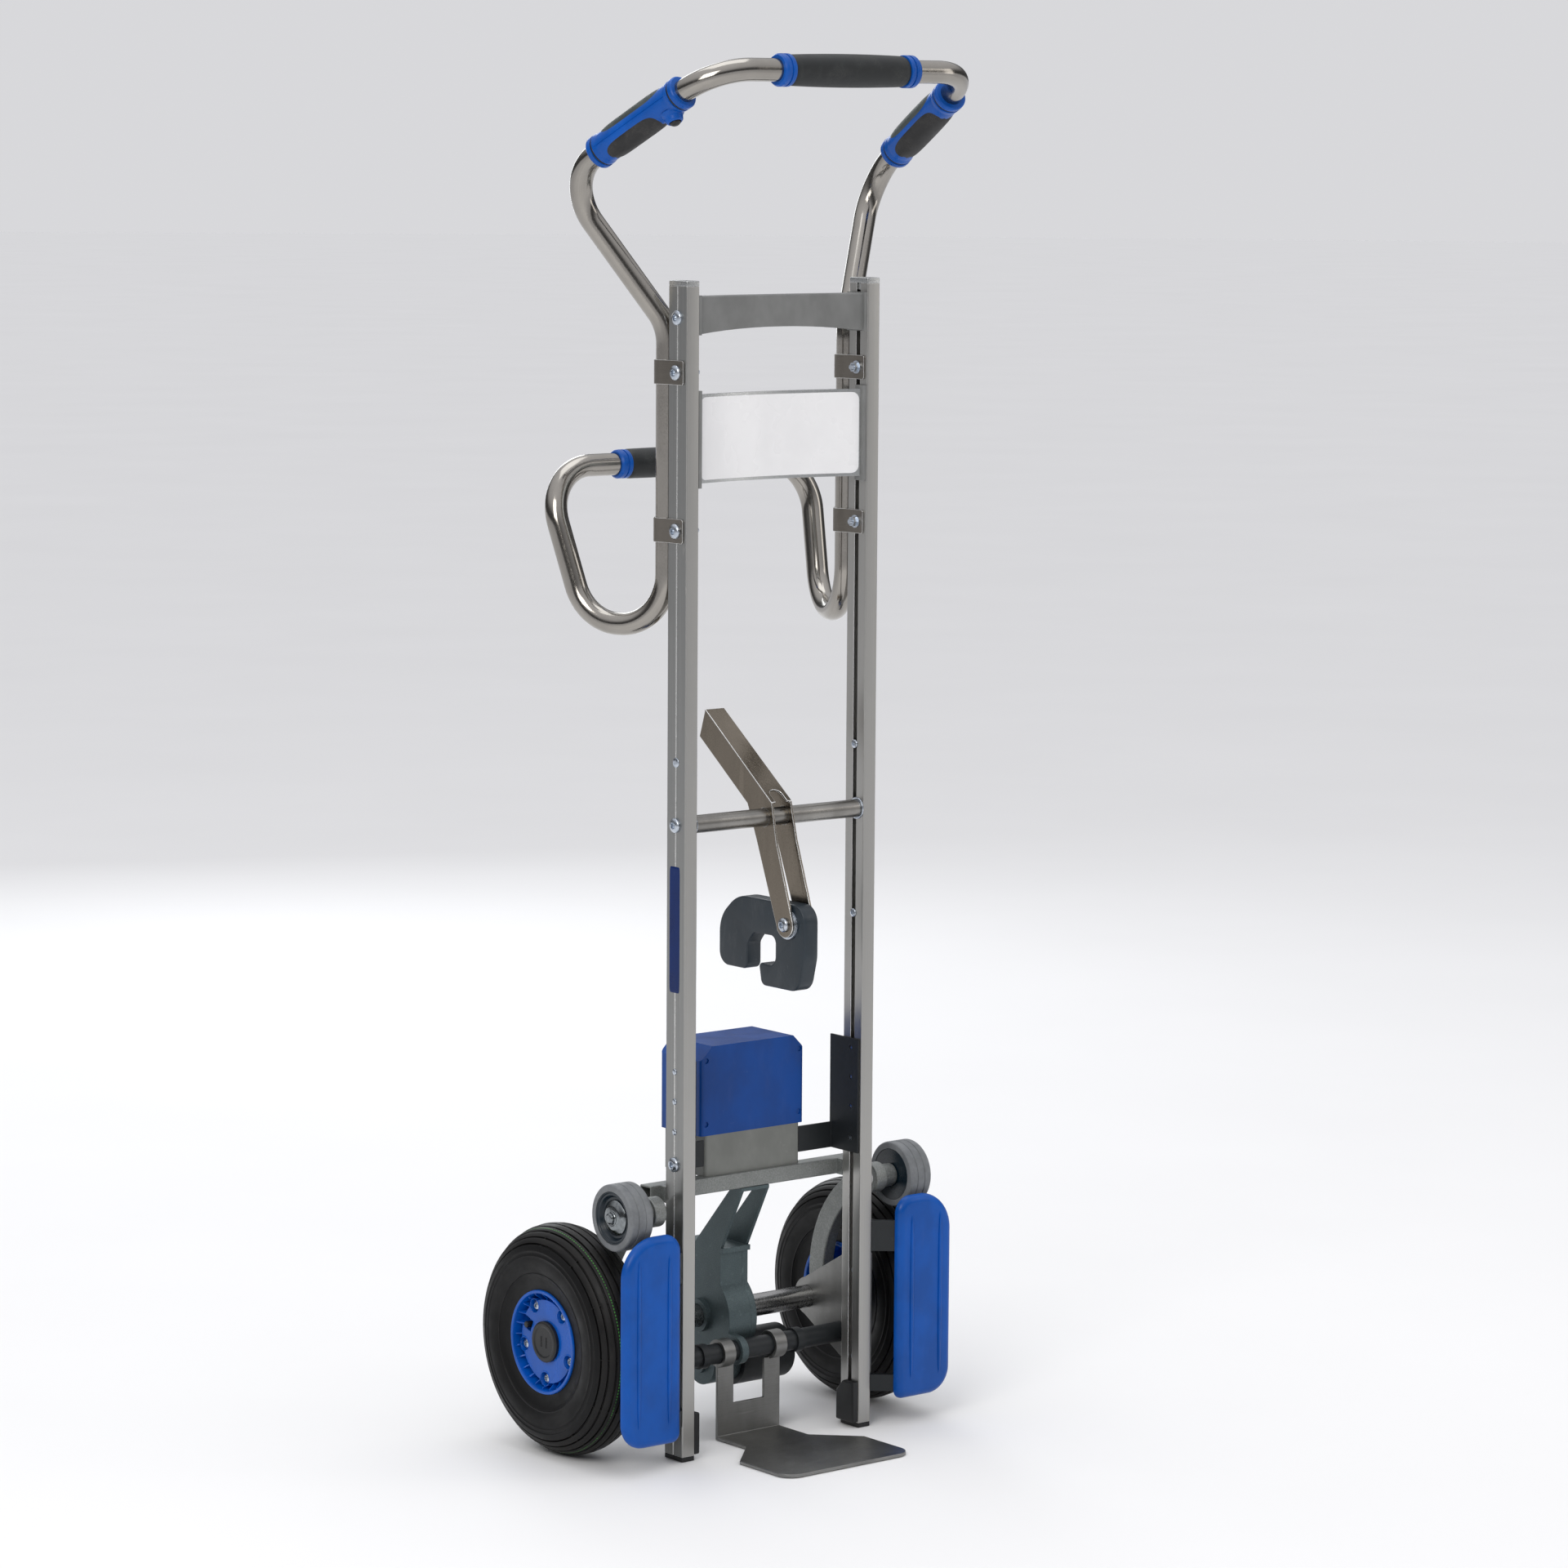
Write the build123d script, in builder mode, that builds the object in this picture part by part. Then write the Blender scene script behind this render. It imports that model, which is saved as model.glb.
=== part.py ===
from build123d import *
import math
import os

# Powered keg trolley: two slotted rails, a bent handle tube, a keg lever with its hook,
# a battery drive that turns two climbing arms, and two main wheels on a fixed axle.
# Millimetres, +Z up, X across (right is positive), the load side is -Y.
# The origin is on the floor, in the plane of the rail fronts, midway between the rails.

os.makedirs("parts", exist_ok=True)

# Rails
rail_gap = 236.6
rail_width = 17.5
rail_depth = 32.4
rail_wall = 1.9
rail_corner = 1.5
rail_foot = 5.0
rail_top = 1300.0
cap_height = 5.9
slot_width = 6.6
groove_width = 1.2
groove_depth = 0.5

# Cross members between the rails
crossbar_bottom = 1248.0
crossbar_height = 41.0
crossbar_depth = 20.0
crossbar_bow = 9.0
crossbar_arch = 6.0
panel_bottom = 1086.0
panel_height = 97.0
panel_thick = 2.0
panel_bow = 17.0
panel_front = 5.0
panel_grip = 5.0
panel_bracket_width = 15.3
cross_tube_forward = 4.0
cross_tube_z = 711.7
cross_tube_radius = 10.0
cross_tube_wall = 2.0

# Fasteners
bolt_radius = 3.0
bolt_head_radius = 6.5
bolt_head_height = 3.6
rivet_radius = 2.4
thread_gap = 0.05
bore_gap = 0.1
crossbar_bolt_z = 1265.8
housing_bolt_z = 333.8
rivet_heights = (370.4, 404.4, 437.8)
plate_bolt_heights = (80.0, 180.0)
plug_z = 781.0
slot_screw_heights = (592.3, 784.0)

# Handle tube: corner points of the right half, all bends of one radius
tube_radius = 12.5
tube_wall = 2.0
bend_radius = 57.0
tube_rail_gap = 0.6
top_bar_y = -101.0
top_bar_z = 1531.5
top_bar_out = 51.95
shoulder_out = 90.95
shoulder_y = 115.4
shoulder_z = 1413.5
upright_top = 1256.0
upright_bottom = 927.7
loop_reach = 101.5
loop_heading = math.degrees(math.atan2(144.0, 61.9))
lower_bar_y = 189.5
lower_bar_z = 1096.2
lower_bar_out = 62.35

# Clips that hold the handle tube on the rails
clip_heights = (1034.5, 1206.5)
clip_height = 26.6
clip_thick = 1.8
clip_front = 4.1
clip_gap = 0.3
clip_corner = 3.0
nut_radius = 5.6
nut_height = 5.0
flange_radius = 7.2
flange_height = 1.3

# Grips
grip_fit = 0.05
top_grip_half = 89.0
top_collar_width = 15.0
grip_end_wall = 4.0
grip_mid_wall = 5.5
lower_grip_half = 82.0
lower_collar_width = 14.5
lower_collar_wall = 3.8
lower_grip_wall = 4.5
side_grip_start = 60.0
side_grip_length = 140.0
side_grip_wall = 4.7
side_flange_wall = 5.9
pad_wall = 5.2
pad_floor_wall = 2.9
pad_half_angle = 60.0
pad_turn = 104.0
pad_start = 22.0
pad_gap = 0.1
pod_place = 116.0
pod_radius = 9.5
pod_wall = 12.0
button_radius = 6.0
button_gap = 0.06
button_travel = 2.5
button_show = 3.0

# Wheels
axle_y = 115.5
axle_z = 130.0
axle_radius = 10.0
axle_past_wheel = 22.7
arm_wheel_gap = 2.3
tyre_radius = 130.0
tyre_section = 38.9
tyre_wall = 7.5
rim_radius = 58.7
rim_half = 33.4
rim_wall = 4.7
rim_disc_outer = 26.0
rim_disc_thick = 10.0
hub_wall = 7.0
hub_inner = -42.0
hub_outer = 24.0
rim_bolt_count = 5
rim_bolt_circle = 43.0
rim_bolt_angle = -14.0
rim_pocket_radius = 7.5
rim_pocket_depth = 5.0
valve_circle = 36.0
valve_angle = 22.5
valve_radius = 3.2
cap_radius = 23.0
cap_thick = 5.0
run_gap = 0.06

# Climbing arms and support wheels
arm_thick = 16.0
arm_offset = 15.2
arm_width = 26.0
arm_hub_radius = 24.0
arm_bulge = 34.0
arm_boss_radius = 13.0
sleeve_wall = 2.94
support_y = 25.9
support_z = 281.9
support_radius = 37.5
support_tread = 7.9
support_spacer = 18.0
support_width = 30.0
support_groove = 1.2
support_axle_radius = 8.0
support_cap_radius = 20.0

# Drive
gear_module = 2.0
gear_teeth = 42
pinion_teeth = 14
gear_half = 6.0
case_half = 20.0
case_inside = 11.0
case_wall = 5.0
case_space = 4.0
case_top = 207.0
case_neck = (80.0, 148.0)
bearing_wall = 8.0
bearing_width = 7.0
boss_out = 6.0
motor_radius = 31.0
motor_length = 75.0
motor_shaft_radius = 5.0
drive_bar_spacer = 10.0
drive_bar_z = 288.0
drive_bar_depth = 20.0
drive_bar_height = 18.0
drive_bar_past_rail = 12.2
drive_bar_wall = 2.0
case_tube_gap = 3.9
lower_tube_z = 100.0
lower_tube_radius = 11.5
lower_tube_wall = 2.0
plate_thick = 4.0

# Battery and its housing
battery_front = 48.0
battery_depth = 75.0
battery_half = 74.0
battery_bottom = 352.5
battery_height = 101.0
battery_wall = 3.0
battery_bevel = 16.0
cell_radius = 9.0
cell_length = 65.0
cell_pitch = 19.5
housing_half = 68.0
housing_wall = 3.0
board_thick = 1.6

# Wheel guards
guard_gap = 2.5
guard_thick = 9.0
guard_wall = 2.5
guard_step = 21.7
guard_width = 77.5
guard_bottom = 31.0
guard_top = 266.0
guard_radii = (8.0, 30.0, 42.0, 26.0)
guard_rib_inset = 17.8
guard_rib_heights = (53.0, 245.0)
guard_lug_thick = 9.2
guard_lug_heights = ((40.0, 59.0), (203.0, 238.0))
guard_bolt_heights = (49.5, 220.5)

# Toe plate
toe_thick = 4.0
toe_front = -130.0
toe_half = 90.0
toe_neck_half = 45.0
toe_corner = 20.0
toe_lug_width = 16.0
toe_lug_wall = 4.5

# Keg lever and hook, drawn in the side view as (y, z)
lever_half = 13.5
lever_sheet = 2.5
lever_tip = (121.0, 822.2)
lever_tip_back = (131.1, 790.5)
lever_knee = (0.0, 729.5)
lever_heel = (42.5, 724.0)
strap_front = (-9.5, 687.3)
strap_back = (24.5, 684.5)
strap_end_radius = 14.5
hook_pivot_y = -26.0
hook_pivot_z = 595.7
hook_half = 10.0
hook_bolt_radius = 4.0
lever_window_half = 7.5
washer_radius = 9.0

# Worked-out places
inner_x = rail_gap / 2
outer_x = inner_x + rail_width
rail_x = inner_x + rail_width / 2
rail_y = rail_depth / 2
tube_y = rail_depth + tube_rail_gap + tube_radius
cross_tube_y = rail_y - cross_tube_forward
top_bar_half = rail_x + top_bar_out
shoulder_x = rail_x + shoulder_out
lower_bar_half = rail_x + lower_bar_out
sleeve_radius = axle_radius + run_gap + sleeve_wall
bearing_radius = sleeve_radius + bearing_wall
hub_radius = axle_radius + hub_wall
arm_inner = outer_x + arm_offset
arm_outer = arm_inner + arm_thick
support_inner = arm_outer + support_spacer
wheel_centre = arm_outer + arm_wheel_gap - hub_inner
axle_end = wheel_centre + axle_past_wheel
drive_bar_y = rail_depth + drive_bar_spacer
drive_bar_half = outer_x + drive_bar_past_rail
grip_bore = tube_radius + grip_fit
grip_end_radius = tube_radius + grip_end_wall
grip_mid_radius = tube_radius + grip_mid_wall
lower_collar_radius = tube_radius + lower_collar_wall
lower_grip_radius = tube_radius + lower_grip_wall
side_grip_radius = tube_radius + side_grip_wall
side_flange_radius = tube_radius + side_flange_wall
pad_radius = tube_radius + pad_wall
pad_floor = tube_radius + pad_floor_wall
pod_reach = tube_radius + pod_wall
lower_dir = (math.cos(math.radians(loop_heading)), math.sin(math.radians(loop_heading)))
loop_turn = (
    rail_x + loop_reach * lower_dir[0],
    tube_y + loop_reach * lower_dir[1],
    upright_bottom,
)
gear_radius = gear_module * gear_teeth / 2
pinion_radius = gear_module * pinion_teeth / 2
pinion_z = axle_z - gear_radius - pinion_radius
gear_clear = gear_radius + gear_module + case_space
pinion_clear = pinion_radius + gear_module + case_space
tube_from_axle = gear_clear + case_wall + lower_tube_radius + case_tube_gap
lower_tube_y = axle_y - math.sqrt(tube_from_axle ** 2 - (axle_z - lower_tube_z) ** 2)
side_signs = (-1, 1)
side_names = {-1: "left", 1: "right"}


def side_plane(x):
    """Plane across the trolley at x, with local x along +Y and local y along +Z."""
    return Plane(origin=(x, 0, 0), x_dir=(0, 1, 0), z_dir=(1, 0, 0))


def block(x_range, y_range, z_range, mode=Mode.ADD):
    """Plain box between pairs of coordinates."""
    centre = [sum(pair) / 2 for pair in (x_range, y_range, z_range)]
    lengths = [abs(pair[1] - pair[0]) for pair in (x_range, y_range, z_range)]
    with Locations(tuple(centre)):
        Box(*lengths, mode=mode)


def rod(x_range, y, z, radius, hole=0.0, mode=Mode.ADD):
    """Round bar or ring along X, optionally with a hole."""
    with BuildSketch(side_plane(min(x_range))) as section:
        with Locations((y, z)):
            Circle(radius)
            if hole:
                Circle(hole, mode=Mode.SUBTRACT)
    extrude(section.sketch, amount=abs(x_range[1] - x_range[0]), mode=mode)


def slab(points, x_range, mode=Mode.ADD):
    """Flat plate with a straight-sided outline in the side view."""
    with BuildSketch(side_plane(min(x_range))) as outline:
        with BuildLine():
            Polyline(*points, close=True)
        make_face()
    extrude(outline.sketch, amount=abs(x_range[1] - x_range[0]), mode=mode)


def turned(points, origin, direction=(1, 0, 0), mode=Mode.ADD):
    """Turned shape about an axis, from (distance along, radius) points."""
    along = Vector(*direction).normalized()
    plane = Plane(origin=origin, x_dir=along, z_dir=along.cross(Vector(0, 0, 1)))
    with BuildSketch(plane) as profile:
        with BuildLine():
            Polyline(*points, close=True)
        make_face()
    revolve(profile.sketch, axis=Axis(origin, along), mode=mode)


def pan_bolt(face_x, y, z, outward, length, radius=bolt_radius, head=bolt_head_radius,
             height=bolt_head_height, socket=True):
    """Round-headed bolt on an outer face, its shank going inwards."""
    origin = (face_x, y, z)
    turned(
        [
            (-length, 0), (-length, radius), (0, radius), (0, head), (height * 0.45, head),
            (height * 0.85, head * 0.72), (height, head * 0.45), (height, 0),
        ],
        origin,
        (outward, 0, 0),
    )
    if socket:
        with BuildSketch(Plane(origin=origin, x_dir=(0, 1, 0), z_dir=(outward, 0, 0))) as hexagon:
            RegularPolygon(radius=head * 0.42, side_count=6)
        drive = extrude(hexagon.sketch, amount=height, mode=Mode.PRIVATE)
        add(Pos(outward * height * 0.4, 0, 0) * drive, mode=Mode.SUBTRACT)


def finish(builder, name):
    """Label a finished piece and write it."""
    builder.part.label = name
    export_step(builder.part, f"parts/{name}.step")


# Rails with an inner slot, a fine outer groove and bolt holes
outer_bolt_heights = (crossbar_bolt_z, cross_tube_z, housing_bolt_z) + clip_heights
for side in side_signs:
    with BuildPart() as rail:
        with BuildSketch(Plane.XY.offset(rail_foot)):
            with Locations((side * rail_x, rail_y)):
                RectangleRounded(rail_width, rail_depth, rail_corner)
                Rectangle(rail_width - 2 * rail_wall, rail_depth - 2 * rail_wall, mode=Mode.SUBTRACT)
            with Locations((side * inner_x, rail_y)):
                Rectangle(3 * rail_wall, slot_width, mode=Mode.SUBTRACT)
            with Locations((side * outer_x, rail_y)):
                Rectangle(2 * groove_depth, groove_width, mode=Mode.SUBTRACT)
        extrude(amount=rail_top - rail_foot)
        hole_range = (side * (outer_x - 2 * rail_wall), side * (outer_x + 1))
        for height in outer_bolt_heights + plate_bolt_heights + guard_bolt_heights + (plug_z,):
            rod(hole_range, rail_y, height, bolt_radius + bore_gap, mode=Mode.SUBTRACT)
        for height in rivet_heights:
            rod(hole_range, rail_y, height, rivet_radius + bore_gap, mode=Mode.SUBTRACT)
    finish(rail, f"rail_{side_names[side]}")

# Rail caps and feet: rounded plastic ends with a plug inside the rail
with BuildPart() as rail_caps:
    with BuildSketch(Plane.XY.offset(rail_top)):
        with Locations((rail_x, rail_y)):
            RectangleRounded(rail_width, rail_depth, rail_corner)
    extrude(amount=cap_height)
    fillet(rail_caps.faces().sort_by(Axis.Z)[-1].edges(), radius=1.2)
    plug_size = (rail_width - 2 * rail_wall - 0.4, rail_depth - 2 * rail_wall - 0.4)
    block(
        (rail_x - plug_size[0] / 2, rail_x + plug_size[0] / 2),
        (rail_y - plug_size[1] / 2, rail_y + plug_size[1] / 2),
        (rail_top - 8, rail_top),
    )
    mirror(about=Plane.YZ)
finish(rail_caps, "rail_caps")

with BuildPart() as rail_feet:
    with BuildSketch(Plane.XY):
        with Locations((rail_x, rail_y)):
            RectangleRounded(rail_width, rail_depth, rail_corner)
    extrude(amount=rail_foot)
    block(
        (rail_x - plug_size[0] / 2, rail_x + plug_size[0] / 2),
        (rail_y - plug_size[1] / 2, rail_y + plug_size[1] / 2),
        (rail_foot, rail_foot + 8),
    )
    mirror(about=Plane.YZ)
finish(rail_feet, "rail_feet")

# Corner brackets at the bottom of the rails, on their inner faces
foot_bracket_thick = 8.0
with BuildPart() as foot_brackets:
    slab(
        [(0.5, rail_foot + 1), (rail_depth - 1, rail_foot + 1), (rail_depth - 1, 40), (20, 53), (0.5, 53)],
        (inner_x - foot_bracket_thick, inner_x),
    )
    fillet(foot_brackets.faces().sort_by(Axis.X)[0].edges(), radius=2)
    mirror(about=Plane.YZ)
finish(foot_brackets, "foot_brackets")


def bowed(half, front, bow, depth, z_range, mode=Mode.ADD):
    """Bar between two points, bowed to the back, with the same depth all along."""
    with BuildSketch(Plane.XY.offset(z_range[0])) as plan:
        with BuildLine():
            ThreePointArc((-half, front), (0, front + bow), (half, front))
            Line((half, front), (half, front + depth))
            ThreePointArc((half, front + depth), (0, front + bow + depth), (-half, front + depth))
            Line((-half, front + depth), (-half, front))
        make_face()
    extrude(plan.sketch, amount=z_range[1] - z_range[0], mode=mode)


# Top crossbar: bowed back, arched underneath, with end flanges against the rails
crossbar_top = crossbar_bottom + crossbar_height
crossbar_flange = 4.0
with BuildPart() as top_crossbar:
    bowed(inner_x, 3.0, crossbar_bow, crossbar_depth, (crossbar_bottom, crossbar_top))
    with BuildSketch(Plane.XZ.offset(-crossbar_depth * 3)) as arch:
        with BuildLine():
            arch_half = inner_x - crossbar_flange
            Line((-arch_half, crossbar_bottom - 1), (-arch_half, crossbar_bottom))
            ThreePointArc(
                (-arch_half, crossbar_bottom),
                (0, crossbar_bottom + crossbar_arch),
                (arch_half, crossbar_bottom),
            )
            Line((arch_half, crossbar_bottom), (arch_half, crossbar_bottom - 1))
            Line((arch_half, crossbar_bottom - 1), (-arch_half, crossbar_bottom - 1))
        make_face()
    extrude(arch.sketch, amount=crossbar_depth * 6, mode=Mode.SUBTRACT)
    fillet(top_crossbar.edges().group_by(Axis.Z)[-1], radius=2)
    for side in side_signs:
        block(
            (side * (inner_x - crossbar_flange), side * inner_x),
            (1.0, rail_depth - 1.0),
            (crossbar_bottom - 1.0, crossbar_top + 1.0),
        )
        rod(
            (side * (inner_x - 20), side * (inner_x + 1)),
            rail_y,
            crossbar_bolt_z,
            bolt_radius + thread_gap,
            mode=Mode.SUBTRACT,
        )
finish(top_crossbar, "top_crossbar")

# Sign panel: a bowed plate whose ends sit in grooves of the panel brackets
panel_top = panel_bottom + panel_height
panel_half = inner_x - panel_bracket_width + panel_grip
with BuildPart() as sign_panel:
    bowed(panel_half, panel_front, panel_bow, panel_thick, (panel_bottom, panel_top))
finish(sign_panel, "sign_panel")

with BuildPart() as panel_brackets:
    block(
        (inner_x - panel_bracket_width, inner_x),
        (0.5, 15.5),
        (panel_bottom - 5, panel_top + 4),
    )
    fillet(panel_brackets.edges().filter_by(Axis.Z), radius=2)
    bowed(
        panel_half + bore_gap,
        panel_front - bore_gap,
        panel_bow,
        panel_thick + 2 * bore_gap,
        (panel_bottom - bore_gap, panel_top + bore_gap),
        mode=Mode.SUBTRACT,
    )
    mirror(about=Plane.YZ)
finish(panel_brackets, "panel_brackets")

# Cross tube with threaded end plugs, which carries the keg lever
plug_length = 14.0
with BuildPart() as cross_tube:
    rod((-inner_x, inner_x), cross_tube_y, cross_tube_z, cross_tube_radius)
    rod(
        (-inner_x + plug_length, inner_x - plug_length),
        cross_tube_y,
        cross_tube_z,
        cross_tube_radius - cross_tube_wall,
        mode=Mode.SUBTRACT,
    )
    for side in side_signs:
        rod(
            (side * (inner_x - plug_length - 1), side * (inner_x + 1)),
            rail_y,
            cross_tube_z,
            bolt_radius + thread_gap,
            mode=Mode.SUBTRACT,
        )
finish(cross_tube, "cross_tube")

# Bolts, rivets, blank plugs and slot screws of the frame
bracket_thick = 2.5
rivet_length = rail_width + bracket_thick
with BuildPart() as frame_bolts:
    pan_bolt(outer_x, rail_y, crossbar_bolt_z, 1, rail_width + 18)
    pan_bolt(outer_x, rail_y, cross_tube_z, 1, rail_width + plug_length - 1)
    pan_bolt(outer_x, rail_y, housing_bolt_z, 1, rail_width + bracket_thick + 2)
    for height in plate_bolt_heights:
        pan_bolt(outer_x + plate_thick, rail_y, height, 1, plate_thick + rail_width - rail_wall - 1)
    for height in guard_bolt_heights:
        pan_bolt(outer_x + guard_lug_thick, rail_y, height, 1, guard_lug_thick + rail_wall + 6)
    for height in rivet_heights:
        pan_bolt(
            outer_x, rail_y, height, 1, rivet_length, rivet_radius, rivet_radius * 1.5, 1.6, socket=False
        )
    pan_bolt(outer_x, rail_y, plug_z, 1, rail_wall + 2, head=5.5, height=1.2, socket=False)
    for height in slot_screw_heights:
        pan_bolt(inner_x, rail_y, height, -1, rail_wall + 5, bolt_radius, 4.8, 2.2)
    mirror(about=Plane.YZ)
finish(frame_bolts, "frame_bolts")

# Clip straps: bent round the handle tube, with both legs on a rail
clip_circle = tube_radius + clip_gap
leg_half = rail_width / 2


def clip_outline(leg, circle, front):
    """Plan of a strap's outer or inner side, wider at the tube than at the rail."""
    with Locations((rail_x, (front + tube_y - circle) / 2)):
        Rectangle(2 * leg, tube_y - circle - front)
    Polygon(
        (rail_x - leg, rail_depth - 3), (rail_x - circle, tube_y), (rail_x + circle, tube_y),
        (rail_x + leg, rail_depth - 3), align=None,
    )
    with Locations((rail_x, tube_y)):
        Circle(circle)


with BuildPart() as clip_straps:
    for height in clip_heights:
        base = Plane.XY.offset(height - clip_height / 2)
        with BuildSketch(base) as strap_outer:
            clip_outline(leg_half + clip_thick, clip_circle + clip_thick, clip_front)
        with BuildSketch(base) as strap_inner:
            clip_outline(leg_half, clip_circle, clip_front - 5)
        extrude(strap_outer.sketch - strap_inner.sketch, amount=clip_height)
    front_edges = clip_straps.edges().filter_by(Axis.X).filter_by_position(
        Axis.Y, clip_front - 0.1, clip_front + 0.1
    )
    fillet(front_edges, radius=clip_corner)
    for height in clip_heights:
        rod(
            (inner_x - 2 * clip_thick, outer_x + 2 * clip_thick),
            rail_y,
            height,
            bolt_radius + bore_gap,
            mode=Mode.SUBTRACT,
        )
    mirror(about=Plane.YZ)
finish(clip_straps, "clip_straps")

nut_stack = flange_height + nut_height
with BuildPart() as clip_bolts:
    for height in clip_heights:
        pan_bolt(
            outer_x + clip_thick, rail_y, height, 1, rail_width + 2 * clip_thick + nut_stack + 3
        )
    mirror(about=Plane.YZ)
finish(clip_bolts, "clip_bolts")

with BuildPart() as clip_nuts:
    nut_face = inner_x - clip_thick
    for height in clip_heights:
        rod((nut_face - flange_height, nut_face), rail_y, height, flange_radius)
        with BuildSketch(side_plane(nut_face - nut_stack)) as nut_section:
            with Locations((rail_y, height)):
                RegularPolygon(radius=nut_radius, side_count=6)
        extrude(nut_section.sketch, amount=nut_height)
        rod(
            (nut_face - nut_stack - 1, nut_face + 1),
            rail_y,
            height,
            bolt_radius + thread_gap,
            mode=Mode.SUBTRACT,
        )
    mirror(about=Plane.YZ)
finish(clip_nuts, "clip_nuts")


# Handle tube halves: top bar, side bar, upright along the rail, lower loop
def handle_points(side):
    """Corner points of one half of the handle tube, from the top middle to the lower middle."""
    return [
        (0, top_bar_y, top_bar_z),
        (side * top_bar_half, top_bar_y, top_bar_z),
        (side * shoulder_x, shoulder_y, shoulder_z),
        (side * rail_x, tube_y, upright_top),
        (side * rail_x, tube_y, upright_bottom),
        (side * loop_turn[0], loop_turn[1], loop_turn[2]),
        (side * lower_bar_half, lower_bar_y, lower_bar_z),
        (0, lower_bar_y, lower_bar_z),
    ]


for side in side_signs:
    with BuildPart() as handle_tube:
        with BuildLine() as tube_path:
            FilletPolyline(*handle_points(side), radius=bend_radius)
        with BuildSketch(Plane(origin=tube_path.line @ 0, z_dir=tube_path.line % 0)) as tube_section:
            Circle(tube_radius)
            Circle(tube_radius - tube_wall, mode=Mode.SUBTRACT)
        sweep()
    path_length = sum(edge.length for edge in tube_path.edges())
    expected = tube_section.sketch.area * path_length
    print(f"handle tube volume over section times length: {handle_tube.part.volume / expected:.5f}")
    finish(handle_tube, f"handle_tube_{side_names[side]}")

# Top grip: barrelled sleeve between two collars
top_sleeve_half = top_grip_half - top_collar_width
with BuildPart() as top_grip:
    with BuildSketch(Plane(origin=(0, top_bar_y, top_bar_z), x_dir=(1, 0, 0), z_dir=(0, -1, 0))) as sleeve:
        with BuildLine():
            Line((-top_sleeve_half, grip_end_radius), (-top_sleeve_half, grip_bore))
            Line((-top_sleeve_half, grip_bore), (top_sleeve_half, grip_bore))
            Line((top_sleeve_half, grip_bore), (top_sleeve_half, grip_end_radius))
            ThreePointArc(
                (top_sleeve_half, grip_end_radius),
                (0, grip_mid_radius),
                (-top_sleeve_half, grip_end_radius),
            )
        make_face()
    revolve(sleeve.sketch, axis=Axis((0, top_bar_y, top_bar_z), (1, 0, 0)))
finish(top_grip, "top_grip")


def collar(start, width, radius, y, z):
    """Grip collar with a shallow groove, turned on the tube."""
    turned(
        [
            (start, grip_bore), (start, radius - 0.6), (start + 1, radius), (start + width * 0.35, radius),
            (start + width * 0.35, radius - 0.7), (start + width * 0.5, radius - 0.7),
            (start + width * 0.5, radius), (start + width * 0.85, radius),
            (start + width, radius - 1.4), (start + width, grip_bore),
        ],
        (0, y, z),
    )
    mirror(about=Plane.YZ)


with BuildPart() as top_grip_collars:
    collar(top_sleeve_half, top_collar_width, grip_mid_radius - 0.2, top_bar_y, top_bar_z)
finish(top_grip_collars, "top_grip_collars")

lower_sleeve_half = lower_grip_half - lower_collar_width
with BuildPart() as lower_grip:
    rod((-lower_sleeve_half, lower_sleeve_half), lower_bar_y, lower_bar_z, lower_grip_radius, grip_bore)
    fillet(lower_grip.edges().filter_by(GeomType.CIRCLE).sort_by(Edge.length)[-2:], radius=1.5)
finish(lower_grip, "lower_grip")

with BuildPart() as lower_grip_collars:
    collar(lower_sleeve_half, lower_collar_width, lower_collar_radius, lower_bar_y, lower_bar_z)
finish(lower_grip_collars, "lower_grip_collars")


# Side grips on the sloping side bars
def side_grip_frame(side):
    """Start point, direction and outward direction of a side grip."""
    corner = Vector(side * shoulder_x, shoulder_y, shoulder_z)
    front = Vector(side * top_bar_half, top_bar_y, top_bar_z)
    along = (front - corner).normalized()
    outward = Vector(side, 0, 0)
    outward = (outward - along * outward.dot(along)).normalized()
    return corner + along * side_grip_start, along, outward


def grip_section_plane(side, distance):
    """Plane square to a side grip, with local x pointing outwards."""
    start, along, outward = side_grip_frame(side)
    return Plane(origin=start + along * distance, x_dir=outward, z_dir=along)


def pad_section(turn, half_angle, inside, outside):
    """Ring sector of a soft pad, centred on an angle from the outward direction."""
    Circle(outside)
    Circle(inside, mode=Mode.SUBTRACT)
    reach = 3 * outside
    angles = [math.radians(turn + step) for step in (-half_angle, 0, half_angle)]
    Polygon(
        (0, 0),
        (reach * math.cos(angles[0]), reach * math.sin(angles[0])),
        (2 * reach * math.cos(angles[1]), 2 * reach * math.sin(angles[1])),
        (reach * math.cos(angles[2]), reach * math.sin(angles[2])),
        align=None,
        mode=Mode.INTERSECT,
    )


def pad_spans(side):
    """Angle and end distance of each pad; the left lower one stops short of the pod."""
    down = side
    full_end = side_grip_length - pad_start
    pod_end = pod_place - pod_radius - 3
    lower_end = pod_end if side == -1 else full_end
    return [(-down * pad_turn, lower_end), (down * pad_turn, full_end)]


def grip_pads(side, grow, outside, mode=Mode.ADD):
    """Both pads of one side grip, or their pockets."""
    for turn, end in pad_spans(side):
        with BuildSketch(grip_section_plane(side, pad_start - grow)) as pad:
            pad_section(turn, pad_half_angle + grow * 3, pad_floor - grow, outside)
        extrude(pad.sketch, amount=end - pad_start + 2 * grow, mode=mode)


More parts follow.
